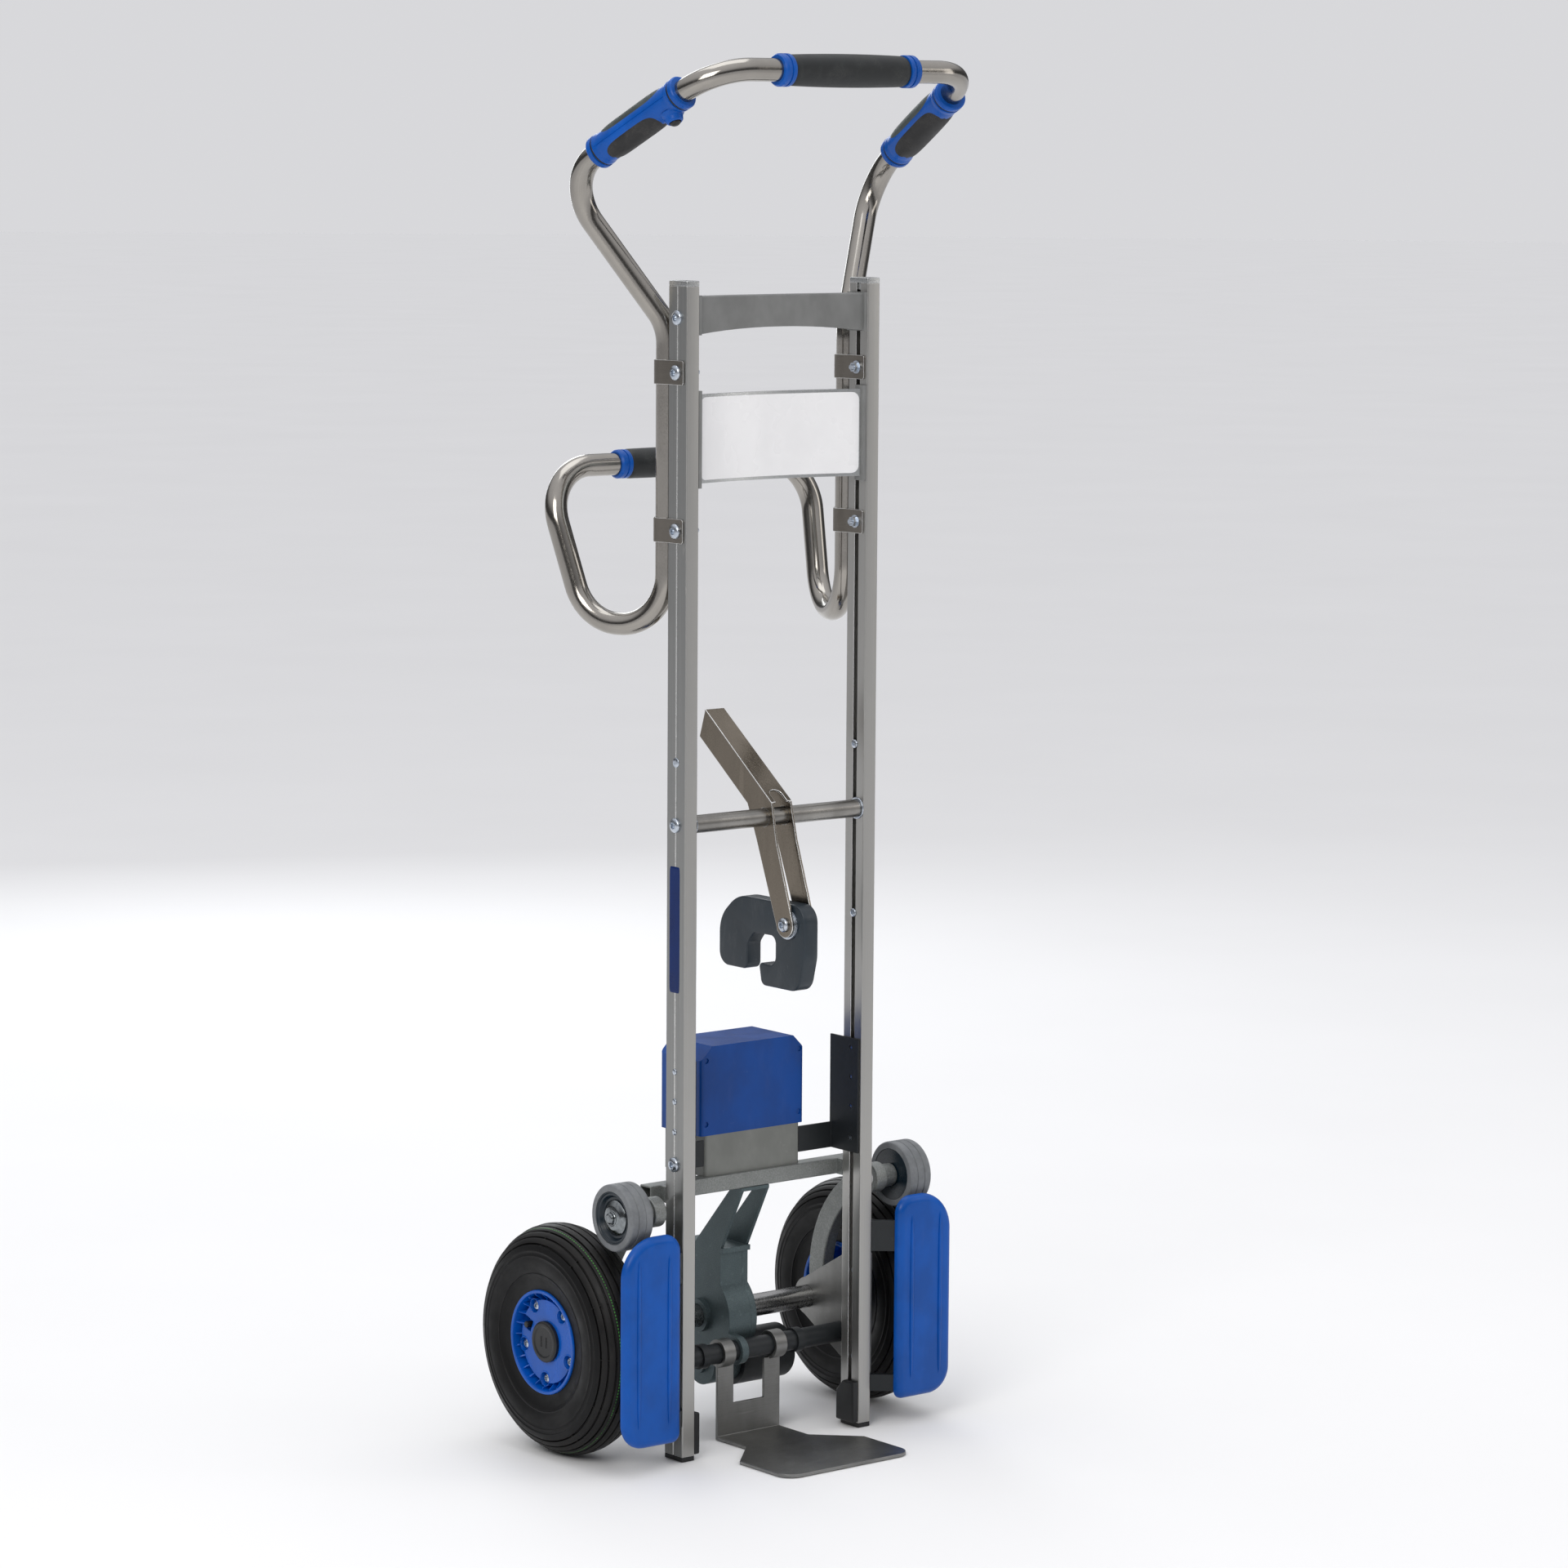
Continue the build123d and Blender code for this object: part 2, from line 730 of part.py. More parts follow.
left_start, left_along, left_outward = side_grip_frame(-1)
left_up = left_along.cross(left_outward)
pod_direction = left_up if left_up.Z < 0 else left_up * -1
pod_centre = left_start + left_along * pod_place
bore_floor = pod_reach - button_travel - 5.0
grip_flange = [
    (0, grip_bore), (0, side_flange_radius - 1.4), (1.5, side_flange_radius), (7, side_flange_radius),
    (7, side_grip_radius), (9, side_grip_radius), (9, side_flange_radius), (12, side_flange_radius),
    (15, side_grip_radius),
]
for side in side_signs:
    start, along, outward = side_grip_frame(side)
    far_flange = [(side_grip_length - distance, radius) for distance, radius in reversed(grip_flange)]
    with BuildPart() as side_grip:
        turned(grip_flange + far_flange, start, along)
        if side == -1:
            with BuildSketch(Plane(origin=pod_centre, x_dir=left_along, z_dir=pod_direction)) as pod:
                Circle(pod_radius)
            extrude(pod.sketch, amount=pod_reach)
            fillet(
                side_grip.faces().sort_by(Axis(pod_centre, pod_direction))[-1].edges(), radius=2
            )
            turned(
                [(-side_grip_length, 0), (-side_grip_length, grip_bore), (side_grip_length, grip_bore),
                 (side_grip_length, 0)],
                pod_centre,
                along,
                mode=Mode.SUBTRACT,
            )
            with BuildSketch(
                Plane(origin=pod_centre + pod_direction * bore_floor, z_dir=pod_direction)
            ) as button_bore:
                Circle(button_radius + button_gap)
            extrude(button_bore.sketch, amount=pod_reach, mode=Mode.SUBTRACT)
        grip_pads(side, pad_gap, pad_radius + 3, mode=Mode.SUBTRACT)
    finish(side_grip, f"side_grip_{side_names[side]}")

with BuildPart() as side_pads:
    for side in side_signs:
        grip_pads(side, 0, pad_radius)
finish(side_pads, "side_pads")

button_base = bore_floor + button_travel + 0.3
with BuildPart() as drive_button:
    turned(
        [
            (button_base, 0), (button_base, button_radius), (pod_reach + button_show - 1.2, button_radius),
            (pod_reach + button_show, button_radius - 1.6), (pod_reach + button_show, 0),
        ],
        pod_centre,
        pod_direction,
    )
finish(drive_button, "drive_button")

# Battery: bevelled case with its cells standing inside
battery_top = battery_bottom + battery_height
battery_back = battery_front + battery_depth


def bevelled(half, y_range, z_range, bevel, mode=Mode.ADD):
    """Block with both top corners cut off along Y."""
    with BuildSketch(Plane.XZ.offset(-y_range[1])) as front:
        with BuildLine():
            Polyline(
                (-half, z_range[0]), (half, z_range[0]), (half, z_range[1] - bevel),
                (half - bevel, z_range[1]), (bevel - half, z_range[1]), (-half, z_range[1] - bevel),
                close=True,
            )
        make_face()
    extrude(front.sketch, amount=y_range[1] - y_range[0], mode=mode)


with BuildPart() as battery_case:
    bevelled(battery_half, (battery_front, battery_back), (battery_bottom, battery_top), battery_bevel)
    fillet(battery_case.edges().filter_by(Axis.Z), radius=5)
    bevelled(
        battery_half - battery_wall,
        (battery_front + battery_wall, battery_back - battery_wall),
        (battery_bottom + battery_wall, battery_top - battery_wall),
        battery_bevel,
        mode=Mode.SUBTRACT,
    )
    for side in side_signs:
        for height in (battery_bottom + 13, battery_top - 16):
            with BuildSketch(Plane.XZ.offset(-battery_front - battery_wall / 2)) as screw_hole:
                with Locations((side * (battery_half - 7.5), height)):
                    Circle(3.2)
            extrude(screw_hole.sketch, amount=battery_wall, mode=Mode.SUBTRACT)
finish(battery_case, "battery_case")

cell_columns = int((2 * (battery_half - battery_wall) - 8) // cell_pitch)
cell_rows = int((battery_depth - 2 * battery_wall - 8) // cell_pitch)
cell_floor = battery_bottom + battery_wall
with BuildPart() as battery_cells:
    with BuildSketch(Plane.XY.offset(cell_floor)):
        with Locations((0, battery_front + battery_depth / 2)):
            with GridLocations(cell_pitch, cell_pitch, cell_columns, cell_rows):
                Circle(cell_radius)
    extrude(amount=cell_length)
finish(battery_cells, "battery_cells")

# Control housing under the battery, with its circuit board on four posts
housing_bottom = drive_bar_z + drive_bar_height
housing_back = battery_back
board_z = housing_bottom + housing_wall + 8
with BuildPart() as control_housing:
    block((-housing_half, housing_half), (battery_front, housing_back), (housing_bottom, battery_bottom))
    fillet(control_housing.edges().filter_by(Axis.Z), radius=4)
    block(
        (-housing_half + housing_wall, housing_half - housing_wall),
        (battery_front + housing_wall, housing_back - housing_wall),
        (housing_bottom + housing_wall, battery_bottom - housing_wall),
        mode=Mode.SUBTRACT,
    )
    with BuildSketch(Plane.XY.offset(housing_bottom + housing_wall)) as posts:
        with Locations((0, (battery_front + housing_back) / 2)):
            with GridLocations(2 * housing_half - 28, battery_depth - 28, 2, 2):
                Circle(3)
    extrude(posts.sketch, amount=board_z - housing_bottom - housing_wall)
finish(control_housing, "control_housing")

with BuildPart() as control_board:
    block(
        (-housing_half + 8, housing_half - 8),
        (battery_front + 8, housing_back - 8),
        (board_z, board_z + board_thick),
    )
    block((-20, 20), (battery_front + 20, battery_front + 45), (board_z + board_thick, board_z + 12))
    with BuildSketch(Plane.XY.offset(board_z + board_thick)) as capacitors:
        with Locations((40, battery_front + battery_depth / 2)):
            with GridLocations(16, 20, 2, 2):
                Circle(6)
    extrude(capacitors.sketch, amount=16)
finish(control_board, "control_board")

# Battery brackets: riveted to the rail inner faces and reaching back to the housing
with BuildPart() as battery_brackets:
    bracket_back = battery_front + 4.5
    block((inner_x - bracket_thick, inner_x), (3.0, bracket_back), (housing_bottom + 12, 449))
    block(
        (housing_half, inner_x),
        (bracket_back - bracket_thick, bracket_back),
        (housing_bottom + 12, battery_bottom - 5),
    )
    hole_span = (inner_x - 2 * bracket_thick, inner_x + 1)
    rod(hole_span, rail_y, housing_bolt_z, bolt_radius + thread_gap, mode=Mode.SUBTRACT)
    for height in rivet_heights:
        rod(hole_span, rail_y, height, rivet_radius + thread_gap, mode=Mode.SUBTRACT)
    mirror(about=Plane.YZ)
finish(battery_brackets, "battery_brackets")

# Drive crossbar behind the rails, on two spacer blocks
drive_bar_top = drive_bar_z + drive_bar_height
with BuildPart() as drive_crossbar:
    bar_back = drive_bar_y + drive_bar_depth
    block((-drive_bar_half, drive_bar_half), (drive_bar_y, bar_back), (drive_bar_z, drive_bar_top))
    fillet(drive_crossbar.edges().filter_by(Axis.X), radius=2)
    block(
        (-drive_bar_half - 1, drive_bar_half + 1),
        (drive_bar_y + drive_bar_wall, bar_back - drive_bar_wall),
        (drive_bar_z + drive_bar_wall, drive_bar_top - drive_bar_wall),
        mode=Mode.SUBTRACT,
    )
    for side in side_signs:
        block(
            (side * inner_x, side * outer_x),
            (rail_depth, drive_bar_y),
            (drive_bar_z, drive_bar_top),
        )
finish(drive_crossbar, "drive_crossbar")

# Axle plates on the outer rail faces, which carry the climbing shaft
plate_span = (outer_x, outer_x + plate_thick)
plate_boss = sleeve_radius + 9
with BuildPart() as axle_plates:
    slab(
        [
            (4, 60), (rail_depth + 2, 60), (axle_y + 4, axle_z - plate_boss),
            (axle_y + 4, axle_z + plate_boss), (rail_depth + 2, 200), (4, 200),
        ],
        plate_span,
    )
    rod(plate_span, axle_y, axle_z, plate_boss)
    drill = (plate_span[0] - 1, plate_span[1] + 1)
    rod(drill, axle_y, axle_z, sleeve_radius + run_gap, mode=Mode.SUBTRACT)
    for height in plate_bolt_heights:
        rod(drill, rail_y, height, bolt_radius + bore_gap, mode=Mode.SUBTRACT)
    mirror(about=Plane.YZ)
finish(axle_plates, "axle_plates")

# Lower tube between the axle plates, with two raised collars
with BuildPart() as lower_tube:
    rod((-outer_x, outer_x), lower_tube_y, lower_tube_z, lower_tube_radius)
    for side in side_signs:
        rod(
            (side * (toe_neck_half + 18), side * (toe_neck_half + 28)),
            lower_tube_y,
            lower_tube_z,
            lower_tube_radius + 2.5,
        )
    rod(
        (-outer_x - 1, outer_x + 1),
        lower_tube_y,
        lower_tube_z,
        lower_tube_radius - lower_tube_wall,
        mode=Mode.SUBTRACT,
    )
finish(lower_tube, "lower_tube")

# Toe plate: a floor plate with a narrow neck and an upright hung on the lower tube
toe_upright = (lower_tube_y - toe_thick / 2, lower_tube_y + toe_thick / 2)
lug_radius = lower_tube_radius + toe_lug_wall
with BuildPart() as toe_plate:
    with BuildSketch(Plane.XY) as toe_plan:
        with BuildLine():
            Polyline(
                (-toe_half, toe_front), (toe_half, toe_front), (toe_half, -45), (toe_neck_half, 0),
                (toe_neck_half, toe_upright[1]), (-toe_neck_half, toe_upright[1]), (-toe_neck_half, 0),
                (-toe_half, -45), close=True,
            )
        make_face()
        fillet(toe_plan.vertices().group_by(Axis.Y)[0], radius=toe_corner)
    extrude(amount=toe_thick)
    block((-toe_neck_half, toe_neck_half), toe_upright, (0, lower_tube_z - lug_radius + 2))
    block(
        (-case_half - 2, case_half + 2),
        (toe_upright[0] - 1, toe_upright[1] + 1),
        (40, lower_tube_z),
        mode=Mode.SUBTRACT,
    )
    for side in side_signs:
        lug = (side * (toe_neck_half - toe_lug_width), side * toe_neck_half)
        rod(lug, lower_tube_y, lower_tube_z, lug_radius)
    rod(
        (-toe_neck_half - 1, toe_neck_half + 1),
        lower_tube_y,
        lower_tube_z,
        lower_tube_radius + thread_gap,
        mode=Mode.SUBTRACT,
    )
finish(toe_plate, "toe_plate")


# Gear case in two halves, hung on the drive crossbar and the lower tube
def case_profile(radius, pinion, neck, top):
    """Side outline round both gears, with a neck that rises to the top flange."""
    with Locations((axle_y, axle_z)):
        Circle(radius)
    with Locations((axle_y, pinion_z)):
        Circle(pinion)
    Polygon(
        (axle_y - pinion, pinion_z), (axle_y + pinion, pinion_z), (axle_y + radius, axle_z),
        (axle_y - radius, axle_z), align=None,
    )
    Polygon((neck[0], axle_z), (neck[1], axle_z), (neck[1], top), (neck[0], top), align=None)


with BuildPart() as gear_case:
    with BuildSketch(side_plane(-case_half)) as case_outer:
        case_profile(gear_clear + case_wall, pinion_clear + case_wall, case_neck, case_top)
    extrude(case_outer.sketch, amount=case_half + case_inside)
    with BuildSketch(side_plane(-case_inside)) as case_cavity:
        case_profile(gear_clear, pinion_clear, (case_neck[0] + case_wall, case_neck[1] - case_wall),
                     case_top - case_wall)
    extrude(case_cavity.sketch, amount=2 * case_inside, mode=Mode.SUBTRACT)
    rod((-case_half - boss_out, -case_half), axle_y, axle_z, sleeve_radius + 6)
    rod((-case_half - boss_out + 1, -case_half), axle_y, pinion_z, 11.5)
    block((-case_half, case_half), (case_neck[0] - 4, case_neck[1] + 4), (case_top, case_top + 6))
    for start in (-case_half, case_half - 4):
        slab(
            [
                (case_neck[0], case_top + 5), (case_neck[1] - 20, case_top + 5),
                (drive_bar_y + drive_bar_depth, drive_bar_z - 3), (drive_bar_y, drive_bar_z - 3),
            ],
            (start, start + 4),
        )
    block(
        (-case_half, case_half),
        (drive_bar_y, drive_bar_y + drive_bar_depth),
        (drive_bar_z - 4, drive_bar_z),
    )
    slab(
        [
            (lower_tube_y, lower_tube_z - lug_radius), (axle_y - pinion_clear, lower_tube_z - 20),
            (axle_y - pinion_clear, lower_tube_z + 20), (lower_tube_y, lower_tube_z + lug_radius),
        ],
        (-case_half, -case_inside),
    )
    rod((-case_half, -case_inside), lower_tube_y, lower_tube_z, lug_radius)
    rod(
        (-case_half - 1, -case_inside + 1),
        lower_tube_y,
        lower_tube_z,
        lower_tube_radius + thread_gap,
        mode=Mode.SUBTRACT,
    )
    rod(
        (-case_half - boss_out - 1, 0), axle_y, axle_z, sleeve_radius + bore_gap * 3, mode=Mode.SUBTRACT
    )
    rod((-case_inside - bearing_width, 0), axle_y, axle_z, bearing_radius + grip_fit, mode=Mode.SUBTRACT)
    rod((-case_inside - 3, 0), axle_y, pinion_z, motor_shaft_radius + run_gap, mode=Mode.SUBTRACT)
finish(gear_case, "gear_case")

with BuildPart() as gear_case_cover:
    with BuildSketch(side_plane(case_inside)) as cover_outer:
        case_profile(gear_clear + case_wall, pinion_clear + case_wall, case_neck, case_top)
    extrude(cover_outer.sketch, amount=case_half - case_inside)
    rod((case_half, case_half + boss_out), axle_y, axle_z, sleeve_radius + 6)
    rod(
        (case_inside - 1, case_half + boss_out + 1),
        axle_y,
        axle_z,
        sleeve_radius + bore_gap * 3,
        mode=Mode.SUBTRACT,
    )
    rod(
        (case_inside - 1, case_inside + bearing_width),
        axle_y,
        axle_z,
        bearing_radius + grip_fit,
        mode=Mode.SUBTRACT,
    )
    rod(
        (case_inside - 1, case_half + 1),
        axle_y,
        pinion_z,
        motor_shaft_radius + bore_gap * 3,
        mode=Mode.SUBTRACT,
    )
finish(gear_case_cover, "gear_case_cover")

with BuildPart() as shaft_bearings:
    rod(
        (case_inside, case_inside + bearing_width),
        axle_y,
        axle_z,
        bearing_radius,
        sleeve_radius + run_gap,
    )
    mirror(about=Plane.YZ)
finish(shaft_bearings, "shaft_bearings")

with BuildPart() as motor:
    motor_end = case_half + motor_length
    rod((case_half, motor_end), axle_y, pinion_z, motor_radius)
    fillet(motor.faces().sort_by(Axis.X)[-1].edges(), radius=3)
    rod((motor_end, motor_end + 5), axle_y, pinion_z, 9)
    rod(
        (case_half - 1, case_half + 14),
        axle_y,
        pinion_z,
        motor_shaft_radius + run_gap,
        mode=Mode.SUBTRACT,
    )
finish(motor, "motor")


def gear(teeth, half, y, z, bore, turn):
    """Spur gear along X with plain trapezoid teeth."""
    pitch = gear_module * teeth / 2
    root = pitch - 1.15 * gear_module
    tip = pitch + 0.85 * gear_module
    with BuildSketch(side_plane(-half)) as section:
        with Locations((y, z)):
            Circle(root)
            with PolarLocations(0, teeth, start_angle=turn):
                Polygon(
                    (root - 1, -0.9 * gear_module), (tip, -0.3 * gear_module),
                    (tip, 0.3 * gear_module), (root - 1, 0.9 * gear_module), align=None,
                )
            Circle(bore, mode=Mode.SUBTRACT)
    extrude(section.sketch, amount=2 * half)


with BuildPart() as drive_gear:
    gear(gear_teeth, gear_half, axle_y, axle_z, sleeve_radius + 0.02, 0)
finish(drive_gear, "drive_gear")

with BuildPart() as motor_pinion:
    gear(pinion_teeth, gear_half + 1, axle_y, pinion_z, 2, 180 / pinion_teeth)
    rod((-case_inside - 2, case_half + 12), axle_y, pinion_z, motor_shaft_radius)
finish(motor_pinion, "motor_pinion")

# Fixed axle, and the hollow climbing shaft that turns round it
with BuildPart() as main_axle:
    rod((-axle_end, axle_end), axle_y, axle_z, axle_radius)
    chamfer(main_axle.edges().filter_by(GeomType.CIRCLE), length=1)
finish(main_axle, "main_axle")

with BuildPart() as climbing_shaft:
    rod((-arm_outer, arm_outer), axle_y, axle_z, sleeve_radius, axle_radius + run_gap)
finish(climbing_shaft, "climbing_shaft")

# Climbing arms: curved castings between the shaft and the support wheels
arm_length = math.hypot(support_y - axle_y, support_z - axle_z)
arm_unit = ((support_y - axle_y) / arm_length, (support_z - axle_z) / arm_length)
arm_middle = (
    (axle_y + support_y) / 2 + arm_bulge * arm_unit[1],
    (axle_z + support_z) / 2 - arm_bulge * arm_unit[0],
)
with BuildPart() as climbing_arms:
    with BuildSketch(side_plane(arm_inner)) as arm_section:
        with BuildLine() as arm_curve:
            ThreePointArc((axle_y, axle_z), arm_middle, (support_y, support_z))
        trace(arm_curve.line, line_width=arm_width)
        with Locations((axle_y, axle_z)):
            Circle(arm_hub_radius)
        with Locations((support_y, support_z)):
            Circle(arm_boss_radius + 4)
    extrude(arm_section.sketch, amount=arm_thick)
    rod((arm_outer, support_inner - bore_gap * 3), support_y, support_z, arm_boss_radius)
    rod((arm_inner - 1, arm_outer + 1), axle_y, axle_z, sleeve_radius + 0.02, mode=Mode.SUBTRACT)
    rod(
        (arm_inner - 1, support_inner + 1),
        support_y,
        support_z,
        support_axle_radius + 0.02,
        mode=Mode.SUBTRACT,
    )
    mirror(about=Plane.YZ)
finish(climbing_arms, "climbing_arms")

support_outer = support_inner + support_width
with BuildPart() as support_axles:
    rod((arm_inner + 1, support_outer - 4), support_y, support_z, support_axle_radius)
    mirror(about=Plane.YZ)
finish(support_axles, "support_axles")

# Support wheels: grooved tyre, hub and domed cap on each side
support_hub_radius = support_radius - support_tread
support_third = support_width / 3
for side in side_signs:
    name = side_names[side]
    hub_ring = support_hub_radius - 0.02

    with BuildPart() as support_tyre:
        turned(
            [
                (support_inner, support_hub_radius), (support_inner, support_radius - 3),
                (support_inner + 3, support_radius),
                (support_inner + support_third - support_groove, support_radius),
                (support_inner + support_third, support_radius - support_groove),
                (support_inner + support_third + support_groove, support_radius),
                (support_outer - support_third - support_groove, support_radius),
                (support_outer - support_third, support_radius - support_groove),
                (support_outer - support_third + support_groove, support_radius),
                (support_outer - 3, support_radius), (support_outer, support_radius - 3),
                (support_outer, support_hub_radius),
            ],
            (0, support_y, support_z),
            (side, 0, 0),
        )
    finish(support_tyre, f"support_tyre_{name}")

    with BuildPart() as support_hub:
        turned(
            [
                (support_inner + 0.5, support_axle_radius + run_gap), (support_inner + 0.5, hub_ring),
                (support_outer - 1, hub_ring), (support_outer - 1, hub_ring - 5),
                (support_outer - 6, hub_ring - 7), (support_outer - 6, support_axle_radius + run_gap),
            ],
            (0, support_y, support_z),
            (side, 0, 0),
        )
    finish(support_hub, f"support_hub_{name}")

    with BuildPart() as support_cap:
        turned(
            [
                (support_outer - 6, 0), (support_outer - 6, support_cap_radius),
                (support_outer - 3, support_cap_radius), (support_outer, support_cap_radius * 0.75),
                (support_outer + 1.5, support_cap_radius * 0.4), (support_outer + 1.5, 6),
                (support_outer + 4, 6), (support_outer + 5, 4.5), (support_outer + 5, 0),
            ],
            (0, support_y, support_z),
            (side, 0, 0),
        )
        rod(
            (side * (support_outer - 7), side * (support_outer - 3.5)),
            support_y,
            support_z,
            support_axle_radius + 0.5,
            mode=Mode.SUBTRACT,
        )
    finish(support_cap, f"support_cap_{name}")

# Main wheels: tyre with tread grooves, bolted rim, its bolts with the valve, and a cap
tyre_ring = tyre_radius - tyre_section
bead_radius = rim_radius + 0.1
shoulder_reach = tyre_ring - math.sqrt(tyre_section ** 2 - rim_half ** 2)
inner_section = tyre_section - tyre_wall
bead_outer = rim_half - 2.4
bead_inner = inner_section * 0.86
bead_inner_reach = tyre_ring - math.sqrt(inner_section ** 2 - bead_inner ** 2)
tread_grooves = (-26.0, -13.0, 0.0, 13.0, 26.0)
groove_size = 1.6


def wheel_profile_plane(side):
    """Plane through a wheel's axis, with local x outwards from the wheel centre."""
    return Plane(
        origin=(side * wheel_centre, axle_y, axle_z), x_dir=(side, 0, 0), z_dir=(0, -side, 0)
    )


for side in side_signs:
    name = side_names[side]
    wheel_axis = Axis((0, axle_y, axle_z), (1, 0, 0))

    with BuildPart() as main_tyre:
        with BuildSketch(wheel_profile_plane(side)) as tyre_profile:
            with BuildLine():
                ThreePointArc(
                    (-rim_half, shoulder_reach), (0, tyre_radius), (rim_half, shoulder_reach)
                )
                Polyline(
                    (rim_half, shoulder_reach), (bead_outer, bead_radius), (bead_inner, bead_radius),
                    (bead_inner, bead_inner_reach),
                )
                ThreePointArc(
                    (bead_inner, bead_inner_reach), (0, tyre_radius - tyre_wall),
                    (-bead_inner, bead_inner_reach),
                )
                Polyline(
                    (-bead_inner, bead_inner_reach), (-bead_inner, bead_radius),
                    (-bead_outer, bead_radius), (-rim_half, shoulder_reach),
                )
            make_face()
            for offset in tread_grooves:
                edge = tyre_ring + math.sqrt(tyre_section ** 2 - offset ** 2)
                with Locations((offset, edge)):
                    Rectangle(groove_size, 2 * groove_size, mode=Mode.SUBTRACT)
        revolve(tyre_profile.sketch, axis=wheel_axis)
    finish(main_tyre, f"main_tyre_{name}")

    disc_inner = rim_disc_outer - rim_disc_thick
    with BuildPart() as main_rim:
        turned(
            [
                (wheel_centre + hub_inner, axle_radius + run_gap),
                (wheel_centre + hub_inner, hub_radius),
                (wheel_centre + disc_inner, hub_radius),
                (wheel_centre + disc_inner, rim_radius - rim_wall),
                (wheel_centre - rim_half, rim_radius - rim_wall),
                (wheel_centre - rim_half, rim_radius),
                (wheel_centre + rim_half, rim_radius),
                (wheel_centre + rim_half, rim_radius - rim_wall),
                (wheel_centre + rim_disc_outer, rim_radius - rim_wall),
                (wheel_centre + rim_disc_outer, hub_radius),
                (wheel_centre + hub_outer, hub_radius - 0.5),
                (wheel_centre + hub_outer, axle_radius + run_gap),
            ],
            (0, axle_y, axle_z),
            (side, 0, 0),
        )
        pocket_floor = wheel_centre + rim_disc_outer - rim_pocket_depth
        wheel_face = wheel_centre + rim_disc_outer
        for index in range(rim_bolt_count):
            angle = math.radians(rim_bolt_angle + 360 * index / rim_bolt_count)
            place = (axle_y + rim_bolt_circle * math.cos(angle), axle_z + rim_bolt_circle * math.sin(angle))
            rod(
                (side * pocket_floor, side * (wheel_face + 1)), *place, rim_pocket_radius,
                mode=Mode.SUBTRACT,
            )
            rod(
                (side * (wheel_centre + disc_inner - 1), side * (wheel_face + 1)), *place,
                bolt_radius + bore_gap, mode=Mode.SUBTRACT,
            )
        valve_turn = math.radians(valve_angle)
        valve_place = (
            axle_y + valve_circle * math.cos(valve_turn), axle_z + valve_circle * math.sin(valve_turn)
        )
        rod(
            (side * (wheel_centre + disc_inner - 1), side * (wheel_face + 1)), *valve_place,
            valve_radius + bore_gap, mode=Mode.SUBTRACT,
        )
    finish(main_rim, f"main_rim_{name}")

    with BuildPart() as rim_fittings:
        for index in range(rim_bolt_count):
            angle = math.radians(rim_bolt_angle + 360 * index / rim_bolt_count)
            pan_bolt(
                side * pocket_floor,
                axle_y + rim_bolt_circle * math.cos(angle),
                axle_z + rim_bolt_circle * math.sin(angle),
                side,
                rim_disc_thick - rim_pocket_depth,
                head=5.5,
                height=3.6,
            )
        turned(
            [
                (wheel_centre + disc_inner - 12, 0), (wheel_centre + disc_inner - 12, valve_radius),
                (wheel_face + 4, valve_radius), (wheel_face + 5, valve_radius - 1), (wheel_face + 5, 0),
            ],
            (0, *valve_place),
            (side, 0, 0),
        )
    finish(rim_fittings, f"rim_fittings_{name}")

    with BuildPart() as wheel_cap:
        turned(
            [
                (wheel_face, 0), (wheel_face, cap_radius), (wheel_face + cap_thick * 0.6, cap_radius),
                (wheel_face + cap_thick, cap_radius - 3), (wheel_face + cap_thick, 0),
            ],
            (0, axle_y, axle_z),
            (side, 0, 0),
        )
    finish(wheel_cap, f"wheel_cap_{name}")

# Wheel guards: open-backed shells in front of the tyres, on lugs bolted to the rails
guard_in = outer_x + guard_step
guard_out = guard_in + guard_width
guard_back = axle_y - tyre_radius - guard_gap
guard_front = guard_back - guard_thick


def guard_outline(inset):
    """Front view of a guard, with its own radius at each corner, inset by a wall."""
    with BuildLine() as outline:
        FilletPolyline(
            (guard_in + inset, guard_bottom + inset), (guard_out - inset, guard_bottom + inset),
            (guard_out - inset, guard_top - inset), (guard_in + inset, guard_top - inset),
            radius=[radius - inset for radius in guard_radii],
            close=True,
        )
    make_face(outline.edges())


with BuildPart() as wheel_guards:
    with BuildSketch(Plane.XZ.offset(-guard_back)) as guard_shape:
        guard_outline(0)
    extrude(guard_shape.sketch, amount=guard_thick)
    fillet(wheel_guards.faces().sort_by(Axis.Y)[0].edges(), radius=5)
    with BuildSketch(Plane.XZ.offset(-guard_back)) as guard_cavity:
        guard_outline(guard_wall)
    extrude(guard_cavity.sketch, amount=guard_thick - guard_wall, mode=Mode.SUBTRACT)
    for rib_x in (guard_in + guard_rib_inset, guard_out - guard_rib_inset):
        block((rib_x - 1.5, rib_x + 1.5), (guard_front - 0.8, guard_front + 1), guard_rib_heights)
    mirror(about=Plane.YZ)
finish(wheel_guards, "wheel_guards")

lug_out = outer_x + guard_lug_thick
lug_reach = guard_front + guard_wall
with BuildPart() as guard_lugs:
    for lug_low, lug_high in guard_lug_heights:
        with BuildSketch(Plane.XY.offset(lug_low)) as lug_section:
            with BuildLine():
                Polyline(
                    (outer_x, 1), (outer_x, 24), (lug_out, 24), (lug_out, 3),
                    (guard_in + 10, guard_back), (guard_in + 10, lug_reach),
                    (guard_in + guard_wall, lug_reach), (guard_in + guard_wall, guard_back),
                    (guard_in, guard_back), close=True,
                )
            make_face()
        extrude(lug_section.sketch, amount=lug_high - lug_low)
    for height in guard_bolt_heights:
        rod((outer_x - 1, lug_out + 1), rail_y, height, bolt_radius + bore_gap, mode=Mode.SUBTRACT)
    mirror(about=Plane.YZ)
finish(guard_lugs, "guard_lugs")

